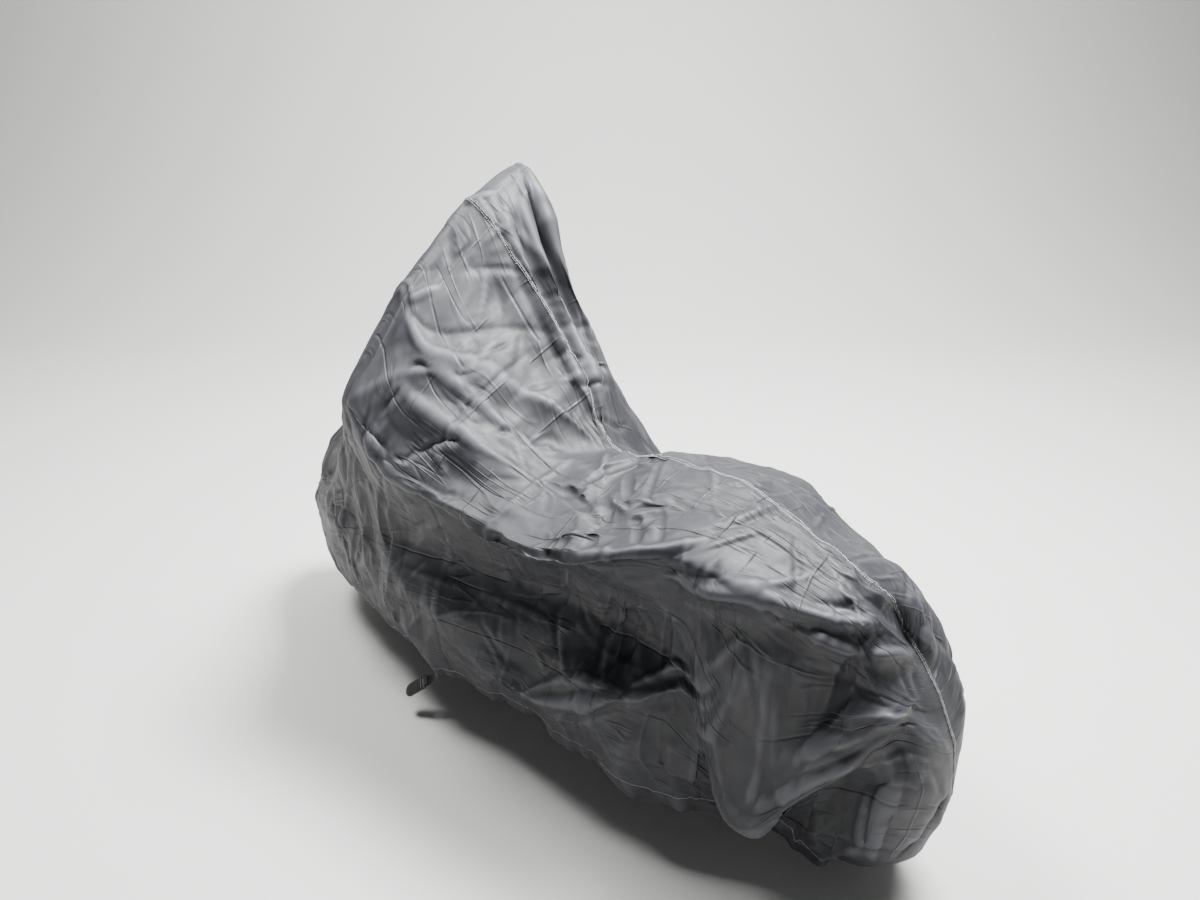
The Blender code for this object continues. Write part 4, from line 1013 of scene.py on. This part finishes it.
def rounded_ring(x, half_width, half_thick, power=5):
    """A rounded rectangle across the buckle at the place x."""
    turns = np.linspace(0, TURN, RING_POINTS, endpoint=False)
    c, s = np.cos(turns), np.sin(turns)
    size = (np.abs(c)**power + np.abs(s)**power)**(-1 / power)
    return np.stack([np.full(RING_POINTS, x), half_width * c * size, half_thick * s * size], axis=-1)


def buckle_body(strap):
    """The flat body: a soft front edge, grip ribs on its faces and a round free end."""
    half = strap.buckle_width / 2
    thick = strap.buckle_thick / 2
    turn_in = strap.buckle_length - half
    rings = []
    for x in np.concatenate([BUCKLE_SLOT + np.array((0, 0.0005, 0.0016)),
                             np.linspace(BUCKLE_SLOT + 0.003, turn_in, 40),
                             turn_in + half * np.sin(np.linspace(0, math.pi / 2, 14)[1:] * 0.985)]):
        soft = min(1.0, 0.72 + (x - BUCKLE_SLOT) / 0.0055)
        wide = half if x <= turn_in else math.sqrt(max(half**2 - (x - turn_in)**2, 1e-8))
        deep = thick * soft * (1 if x <= turn_in else max(0.35, (wide / half)**0.5))
        in_grip = max(0.0, 1 - abs(x - turn_in + GRIP_REACH / 2) / (GRIP_REACH / 2))
        groove = GRIP_DEPTH * min(1.0, 3 * in_grip) * (0.5 - 0.5 * math.cos(TURN * x / GRIP_PITCH))
        rings.append(rounded_ring(x, wide * (0.97 if soft < 1 else 1), deep - groove))
    return loft(rings)


def buckle_arm(strap, sign):
    """One of the two arms that hold the bar."""
    slot = BUCKLE_SLOT_WIDTH / 2
    half = (strap.buckle_width / 2 - slot) / 2
    rings = []
    for x in np.linspace(-BUCKLE_LUG, BUCKLE_SLOT + 0.002, 12):
        round_off = math.sqrt(max(0.12, 1 - max(0.0, (-x - 0.0008) / (BUCKLE_LUG - 0.0008))**2))
        ring = rounded_ring(x, half, strap.buckle_thick / 2 * 0.92 * round_off)
        rings.append(ring + (0, sign * (slot + half), 0))
    return loft(rings)


def buckle_bar():
    """The round bar that the webbing turns round."""
    turns = np.linspace(0, TURN, BAR_SIDES, endpoint=False)
    half = BUCKLE_SLOT_WIDTH / 2
    rings = []
    for y in np.linspace(-half - 0.001, half + 0.001, 12):
        flare = 1 + BAR_FLARE * max(0.0, abs(y) / half - 0.85) / 0.15
        rings.append(np.stack([BAR_RADIUS * flare * np.cos(turns), np.full(BAR_SIDES, y),
                               BAR_RADIUS * flare * np.sin(turns)], axis=-1))
    return loft(rings)


def strap_stitch_paths(points, widths, strap):
    """The sewn rows that hold the webbing to the hem and its return to itself."""
    paths = []
    for k in (1, 3, STRAP_STEPS - 5, STRAP_STEPS - 1):
        run = (points[k + 1] - points[k - 1]).normalized()
        out = widths[k].cross(run).normalized()
        paths.append(np.array([(*(points[k] + widths[k] * strap.width * share + out * strap.thick * 0.5), *out)
                               for share in np.linspace(-0.4, 0.4, 12)]))
    return paths


# ---------------------------------------------------------------- materials
# Inputs of the colour mix node: 0 is its factor, 6 and 7 are its two colours, and output 2 is the mix.
FACTOR, FIRST, SECOND, MIXED = 0, 6, 7, 2


def set_inputs(node, values):
    """Give each named input of a node its value, or link it where the value is another node's output."""
    for socket, value in values.items():
        if isinstance(value, bpy.types.NodeSocket):
            node.id_data.links.new(value, node.inputs[socket])
        else:
            node.inputs[socket].default_value = value


def add_node(material, kind, values, take=0, **settings):
    """Add a shader node with its settings and inputs, and return the output to take from it."""
    node = material.node_tree.nodes.new("ShaderNode" + kind)
    for name, value in settings.items():
        setattr(node, name, value)
    set_inputs(node, values)
    return node.outputs[take]


def new_material(name):
    """A material with a Principled shader, in place of one of the same name."""
    old = bpy.data.materials.get(name)
    if old:
        bpy.data.materials.remove(old)
    material = bpy.data.materials.new(name)
    material.use_nodes = True
    return material


def finish(material, values):
    """Give the shader its inputs, and the material back."""
    set_inputs(material.node_tree.nodes["Principled BSDF"], {"Metallic": 0.0, **values})
    return material


def taffeta_material(colours):
    """Polyester taffeta with a polyurethane coating, calendered smooth.

    A dense plain weave under a thin coat gives an even, satin gloss, rubbed paler along the ridges. Dry dust
    lies on it in patches, and a net of fine wrinkles breaks up each reflection.
    """
    material = new_material("coated polyester taffeta")
    weave = add_node(material, "TexCoord", {}, "UV")
    solid = add_node(material, "TexCoord", {}, "Object")
    patches = add_node(material, "TexNoise", {"Vector": solid, "Scale": 1 / 0.14, "Detail": 6.0,
                                              "Roughness": 0.62})
    dusty = add_node(material, "MapRange", {"Value": patches, "From Min": 0.45, "From Max": 0.8,
                                            "To Max": 0.22})
    worn = add_node(material, "Attribute", {}, "Fac", attribute_name="wear")
    rubbed = add_node(material, "Mix", {FACTOR: worn, FIRST: (*colours.cloth, 1),
                                        SECOND: (*colours.cloth_worn, 1)}, MIXED, data_type="RGBA")
    tone = add_node(material, "Mix", {FACTOR: dusty, FIRST: rubbed, SECOND: (*colours.dust, 1)}, MIXED,
                    data_type="RGBA")
    grime = add_node(material, "TexNoise", {"Vector": solid, "Scale": 1 / 0.03, "Detail": 5.0,
                                            "Roughness": 0.7})
    gloss = add_node(material, "MapRange", {"Value": grime, "From Min": 0.3, "From Max": 0.7,
                                            "To Min": 0.48, "To Max": 0.6})
    # the cover lay folded in its bag: lines about 110 mm apart that wander, stand proud and break off
    wander = add_node(material, "TexNoise", {"Vector": weave, "Scale": 1 / 0.25, "Detail": 3.0})
    spots = add_node(material, "TexNoise", {"Vector": solid, "Scale": 1 / 0.12, "Detail": 2.0})
    heights = []
    for axis, low, high in (("X", 0.46, 0.56), ("Y", 0.56, 0.46)):
        place = add_node(material, "SeparateXYZ", {"Vector": weave}, axis)
        shifted = add_node(material, "Math", {0: wander, 1: 0.02, 2: place}, operation="MULTIPLY_ADD")
        away = add_node(material, "Math", {0: shifted, 1: FOLDED_PITCH / 2}, operation="PINGPONG")
        line = add_node(material, "MapRange", {"Value": away, "From Max": FOLDED_WIDTH, "To Min": 1.0,
                                               "To Max": 0.0})
        shown = add_node(material, "MapRange", {"Value": spots, "From Min": low, "From Max": high})
        heights.append(add_node(material, "Math", {0: line, 1: shown}, operation="MULTIPLY"))
    folded = add_node(material, "Math", dict(enumerate(heights)), operation="SUBTRACT")
    # pinched creases: thin lines that run on for some 0.3 m in three directions, broken into short stretches
    pinches = []
    for turn, level in ((0.2, 0.45), (1.25, 0.5), (-0.75, 0.55)):
        along = add_node(material, "Mapping", {"Vector": weave, "Rotation": (0, 0, turn),
                                               "Scale": (3.0, 18.0, 1.0)})
        band = add_node(material, "TexNoise", {"Vector": along, "Scale": 1.0, "Detail": 1.5,
                                               "Roughness": 0.4})
        off = add_node(material, "Math", {0: band, 1: level}, operation="SUBTRACT")
        away = add_node(material, "Math", {0: off}, operation="ABSOLUTE")
        pinches.append(add_node(material, "MapRange", {"Value": away, "From Max": PINCH_WIDTH, "To Min": 1.0,
                                                       "To Max": 0.0}))
    both = add_node(material, "Math", dict(enumerate(pinches[:2])), operation="SUBTRACT")
    lines = add_node(material, "Math", {0: both, 1: pinches[2]}, operation="ADD")
    there = add_node(material, "MapRange", {"Value": spots, "From Min": 0.45, "From Max": 0.62})
    nipped = add_node(material, "Math", {0: lines, 1: there}, operation="MULTIPLY")
    # taffeta threads lie 0.2 mm apart; they are drawn 0.9 mm apart so that a close view shows them
    warp, weft = (add_node(material, "TexWave", {"Vector": weave, "Scale": WAVE_PERIOD / THREAD_PITCH}, "Fac",
                           bands_direction=axis) for axis in "XY")
    threads = add_node(material, "Math", {0: warp, 1: weft}, operation="MULTIPLY")
    woven = add_node(material, "Bump", {"Height": threads, "Strength": 0.35, "Distance": 0.00006})
    wrinkled = add_node(material, "Bump", {"Height": nipped, "Strength": 1.0, "Distance": PINCH_DEPTH,
                                           "Normal": woven})
    crumpled = add_node(material, "Bump", {"Height": folded, "Strength": 1.0, "Distance": FOLDED_DEPTH,
                                           "Normal": wrinkled})
    return finish(material, {"IOR": 1.5, "Specular IOR Level": 0.3, "Base Color": tone, "Roughness": gloss,
                             "Normal": crumpled})


def webbing_material(colours):
    """Woven polyester webbing: matt, with the twill of its yarns, and edges painted paler: rubbed edge threads
    together with a painted highlight along both edges.
    """
    material = new_material("woven polyester webbing")
    solid = add_node(material, "TexCoord", {}, "Object")
    across = add_node(material, "SeparateXYZ", {"Vector": add_node(material, "TexCoord", {}, "UV")}, "X")
    middle = add_node(material, "Math", {0: across, 1: 0.5}, operation="SUBTRACT")
    outward = add_node(material, "Math", {0: middle}, operation="ABSOLUTE")
    # the edges are painted paler: partly rubbed edge threads, partly a painted highlight along both edges
    edge = add_node(material, "MapRange", {"Value": outward, "From Min": 0.42, "From Max": 0.5, "To Max": 0.7})
    fibre = add_node(material, "TexNoise", {"Vector": solid, "Scale": 1 / 0.0012, "Detail": 3.0})
    rubbed = add_node(material, "Math", {0: edge, 1: fibre}, operation="MULTIPLY")
    tone = add_node(material, "Mix", {FACTOR: rubbed, FIRST: (*colours.webbing, 1),
                                      SECOND: (*colours.edge_sheen_and_scuff, 1)}, MIXED, data_type="RGBA")
    dull = add_node(material, "MapRange", {"Value": fibre, "To Min": 0.62, "To Max": 0.85})
    # yarns of the twill, 1 mm apart across the ribs
    yarns = add_node(material, "TexWave", {"Vector": solid, "Scale": WAVE_PERIOD / 0.001, "Distortion": 1.5},
                     "Fac", bands_direction="DIAGONAL")
    raised_yarns = add_node(material, "Bump", {"Height": yarns, "Strength": 0.7, "Distance": 0.0002})
    return finish(material, {"IOR": 1.5, "Sheen Weight": 0.3, "Sheen Roughness": 0.5, "Base Color": tone,
                             "Roughness": dull, "Normal": raised_yarns})


def buckle_material(colours):
    """Moulded acetal: a fine spark-eroded grain, half matt, with faint handling marks."""
    material = new_material("moulded acetal")
    solid = add_node(material, "TexCoord", {}, "Object")
    marks = add_node(material, "TexNoise", {"Vector": solid, "Scale": 1 / 0.012, "Detail": 6.0,
                                            "Roughness": 0.7})
    scuffed = add_node(material, "MapRange", {"Value": marks, "From Min": 0.55, "From Max": 0.75,
                                              "To Max": 0.3})
    tone = add_node(material, "Mix", {FACTOR: scuffed, FIRST: (*colours.buckle, 1),
                                      SECOND: (*colours.edge_sheen_and_scuff, 1)}, MIXED, data_type="RGBA")
    gloss = add_node(material, "MapRange", {"Value": marks, "To Min": 0.32, "To Max": 0.52})
    # grit of the mould, about 0.4 mm
    grit = add_node(material, "TexNoise", {"Vector": solid, "Scale": 1 / 0.0004, "Detail": 2.0})
    grained = add_node(material, "Bump", {"Height": grit, "Strength": 0.4, "Distance": 0.00005})
    return finish(material, {"IOR": 1.48, "Base Color": tone, "Roughness": gloss, "Normal": grained})


def thread_material(colours):
    """Spun polyester sewing thread: short twisted fibres, so dull, and a little paler than the cloth."""
    material = new_material("polyester sewing thread")
    twist = add_node(material, "TexNoise", {"Vector": add_node(material, "TexCoord", {}, "Object"),
                                            "Scale": 1 / 0.0008, "Detail": 2.0})
    tone = add_node(material, "Mix", {FACTOR: twist, FIRST: (*colours.thread, 1),
                                      SECOND: (*colours.cloth, 1)}, MIXED, data_type="RGBA")
    dull = add_node(material, "MapRange", {"Value": twist, "To Min": 0.7, "To Max": 0.85})
    return finish(material, {"IOR": 1.5, "Specular IOR Level": 0.15, "Base Color": tone, "Roughness": dull})


def floor_material(colours):
    """Matt studio floor: rolled emulsion paint with barely visible mottling."""
    material = new_material("matt studio paint")
    mottle = add_node(material, "TexNoise", {"Vector": add_node(material, "TexCoord", {}, "Object"),
                                             "Scale": 1 / 0.4, "Detail": 4.0})
    tone = add_node(material, "Mix", {FACTOR: mottle, FIRST: (*colours.floor, 1),
                                      SECOND: (*(value * 0.96 for value in colours.floor), 1)}, MIXED,
                    data_type="RGBA")
    dull = add_node(material, "MapRange", {"Value": mottle, "To Min": 0.75, "To Max": 0.85})
    return finish(material, {"IOR": 1.45, "Base Color": tone, "Roughness": dull})


# ---------------------------------------------------------------- stage
def add_light(name, place, target, size, power):
    """A soft square light that faces its target."""
    light = bpy.data.lights.new(name, "AREA")
    light.size = size
    light.energy = power
    lamp = place_object(name, light)
    lamp.location = place
    lamp.rotation_euler = (Vector(target) - Vector(place)).to_track_quat("-Z", "Y").to_euler()


def add_floor(colours):
    """A paper floor that curves up into a backdrop behind the cover, straight across the camera's view."""
    turn = math.radians(CAMERA_TURN[2])
    across = np.array((math.cos(turn), math.sin(turn), 0))
    ahead = np.array((-math.sin(turn), math.cos(turn), 0))
    bend = np.linspace(0, math.pi / 2, FLOOR_BENDS + 1)
    out = np.concatenate([[-FLOOR_SIDE / 2], FLOOR_DEEP + FLOOR_BEND * np.sin(bend), [FLOOR_DEEP + FLOOR_BEND]])
    up = np.concatenate([[0], FLOOR_BEND * (1 - np.cos(bend)), [FLOOR_TALL]]) - REST_Z
    rows = [side * FLOOR_SIDE / 2 * across + y * ahead + (0, 0, z) for y, z in zip(out, up) for side in (-1, 1)]
    faces = [(2 * k, 2 * k + 1, 2 * k + 3, 2 * k + 2) for k in range(len(out) - 1)]
    mesh = bpy.data.meshes.new("studio_floor")
    mesh.from_pydata([tuple(row) for row in rows], [], faces)
    mesh.shade_smooth()
    mesh.materials.append(floor_material(colours))
    place_object("studio_floor", mesh)


def add_camera(lens):
    """The camera, at the height and distance of someone standing behind the left rear corner."""
    view = bpy.data.cameras.new("view")
    view.lens = lens
    view.sensor_width = 36
    camera = place_object("view", view)
    camera.location = CAMERA_PLACE
    camera.rotation_euler = [math.radians(angle) for angle in CAMERA_TURN]
    bpy.context.scene.camera = camera


# ---------------------------------------------------------------- operators
def built(name):
    """A piece that an earlier operator has built."""
    piece = bpy.data.objects.get(name)
    if not piece:
        raise RuntimeError(name + " has to be built first")
    return piece


class COVER_OT_panels(bpy.types.Operator):
    """Build the two draped panels, with their folds, creases, hems and the lapped seam"""
    bl_idname = "cover.panels"
    bl_label = "Cover Panels"

    def execute(self, context):
        sizes = context.scene.cover_cloth
        material = taffeta_material(context.scene.cover_colours)
        cloth = worn_cloth(sizes)
        seam = cloth.shape[1] // 2
        both = np.concatenate([cloth, cloth_normals(cloth)], axis=-1)
        left = both[:, :seam + 1]
        right = both[:, :seam - 1:-1]
        ribbon = seam_ribbon(right)
        one = build_panel("cover_left", left[..., :3], left[..., 3:], False, material, sizes, ribbon)
        two = build_panel("cover_right", right[..., :3], right[..., 3:], True, material, sizes)
        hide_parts("left_panel")
        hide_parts("right_panel")
        return {"FINISHED"}


class COVER_OT_stitching(bpy.types.Operator):
    """Sew the stitches of the seam and of both hems"""
    bl_idname = "cover.stitching"
    bl_label = "Stitching"

    def execute(self, context):
        sizes = context.scene.cover_cloth
        thread = context.scene.cover_thread
        grids = [panel_grid(built(name)) for name in ("cover_left", "cover_right")]
        material = thread_material(context.scene.cover_colours)
        ribbon = seam_ribbon(grids[1])
        rows = []
        for share in SEAM_ROWS:
            row = inward(ribbon, share * sizes.lap)
            row[:, :3] += row[:, 3:] * CLOTH_LAYER
            rows.append(row)
        sew("seam_stitches", rows, thread, material)
        sew("hem_stitches", [inward(grid, sizes.hem_depth - HEM_ROW) for grid in grids], thread, material)
        return {"FINISHED"}


class COVER_OT_strap(bpy.types.Operator):
    """Build the ribbed webbing sewn to the left hem, and the moulded buckle at its free end"""
    bl_idname = "cover.strap"
    bl_label = "Strap End"

    def execute(self, context):
        strap = context.scene.cover_strap
        colours = context.scene.cover_colours
        points, widths, turn, bar = strap_course(panel_grid(built("cover_left")), strap)
        section = webbing_section(strap)
        vertices, faces = loft(webbing_rings(points, widths, section))
        band = add_piece("strap_band", vertices, faces, webbing_material(colours))
        lay_uv(band.data, [(share / strap.width + 0.5, k) for k in range(len(points)) for share in section[:, 0]])
        vertices, faces = join_solids([buckle_body(strap), buckle_arm(strap, 1), buckle_arm(strap, -1),
                                       buckle_bar()])
        vertices = vertices @ np.array(turn).T + np.array(bar)
        clip = add_piece("strap_clip", vertices, faces, buckle_material(colours))
        sew("strap_stitches", strap_stitch_paths(points, widths, strap), context.scene.cover_thread,
            thread_material(colours))
        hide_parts("strap_webbing")
        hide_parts("strap_buckle")
        return {"FINISHED"}


class COVER_OT_stage(bpy.types.Operator):
    """Set up the pale floor with its backdrop, the soft light and the camera"""
    bl_idname = "cover.stage"
    bl_label = "Stage"

    def execute(self, context):
        stage = context.scene.cover_stage
        add_floor(context.scene.cover_colours)
        world = bpy.data.worlds.new("studio")
        world.use_nodes = True
        set_inputs(world.node_tree.nodes["Background"], {"Color": SKY_COLOUR, "Strength": stage.sky})
        context.scene.world = world
        add_light("backdrop", *BACKDROP_LIGHT, stage.backdrop)
        add_light("key", *KEY_LIGHT, KEY_SHARE * stage.key)
        add_light("top", *TOP_LIGHT, TOP_SHARE * stage.key)
        add_camera(stage.lens)
        return {"FINISHED"}


class COVER_PT_pieces(bpy.types.Panel):
    """The pieces of the cover, in the order in which they are built"""
    bl_label = "Fitted Cover"
    bl_idname = "COVER_PT_pieces"
    bl_space_type = "VIEW_3D"
    bl_region_type = "UI"
    bl_category = "Cover"

    def draw(self, context):
        for group, (_, operator) in GROUPS.items():
            settings = getattr(context.scene, group)
            column = self.layout.column(align=True)
            for name in settings.bl_rna.properties.keys():
                if name not in ("rna_type", "name"):
                    column.prop(settings, name)
            if operator:
                self.layout.operator(operator.bl_idname)


GROUPS = {
    "cover_colours": (CoverColours, None),
    "cover_cloth": (CoverCloth, COVER_OT_panels),
    "cover_thread": (CoverThread, COVER_OT_stitching),
    "cover_strap": (CoverStrap, COVER_OT_strap),
    "cover_stage": (CoverStage, COVER_OT_stage),
}
CLASSES = [item for pair in GROUPS.values() for item in pair if item] + [COVER_PT_pieces]


def register():
    for item in CLASSES:
        bpy.utils.register_class(item)
    for name, (group, _) in GROUPS.items():
        setattr(bpy.types.Scene, name, bpy.props.PointerProperty(type=group))


def unregister():
    for name in GROUPS:
        delattr(bpy.types.Scene, name)
    for item in reversed(CLASSES):
        bpy.utils.unregister_class(item)


def main():
    register()
    bpy.ops.cover.panels()
    bpy.ops.cover.stitching()
    bpy.ops.cover.strap()
    bpy.ops.cover.stage()


if __name__ == "__main__":
    main()
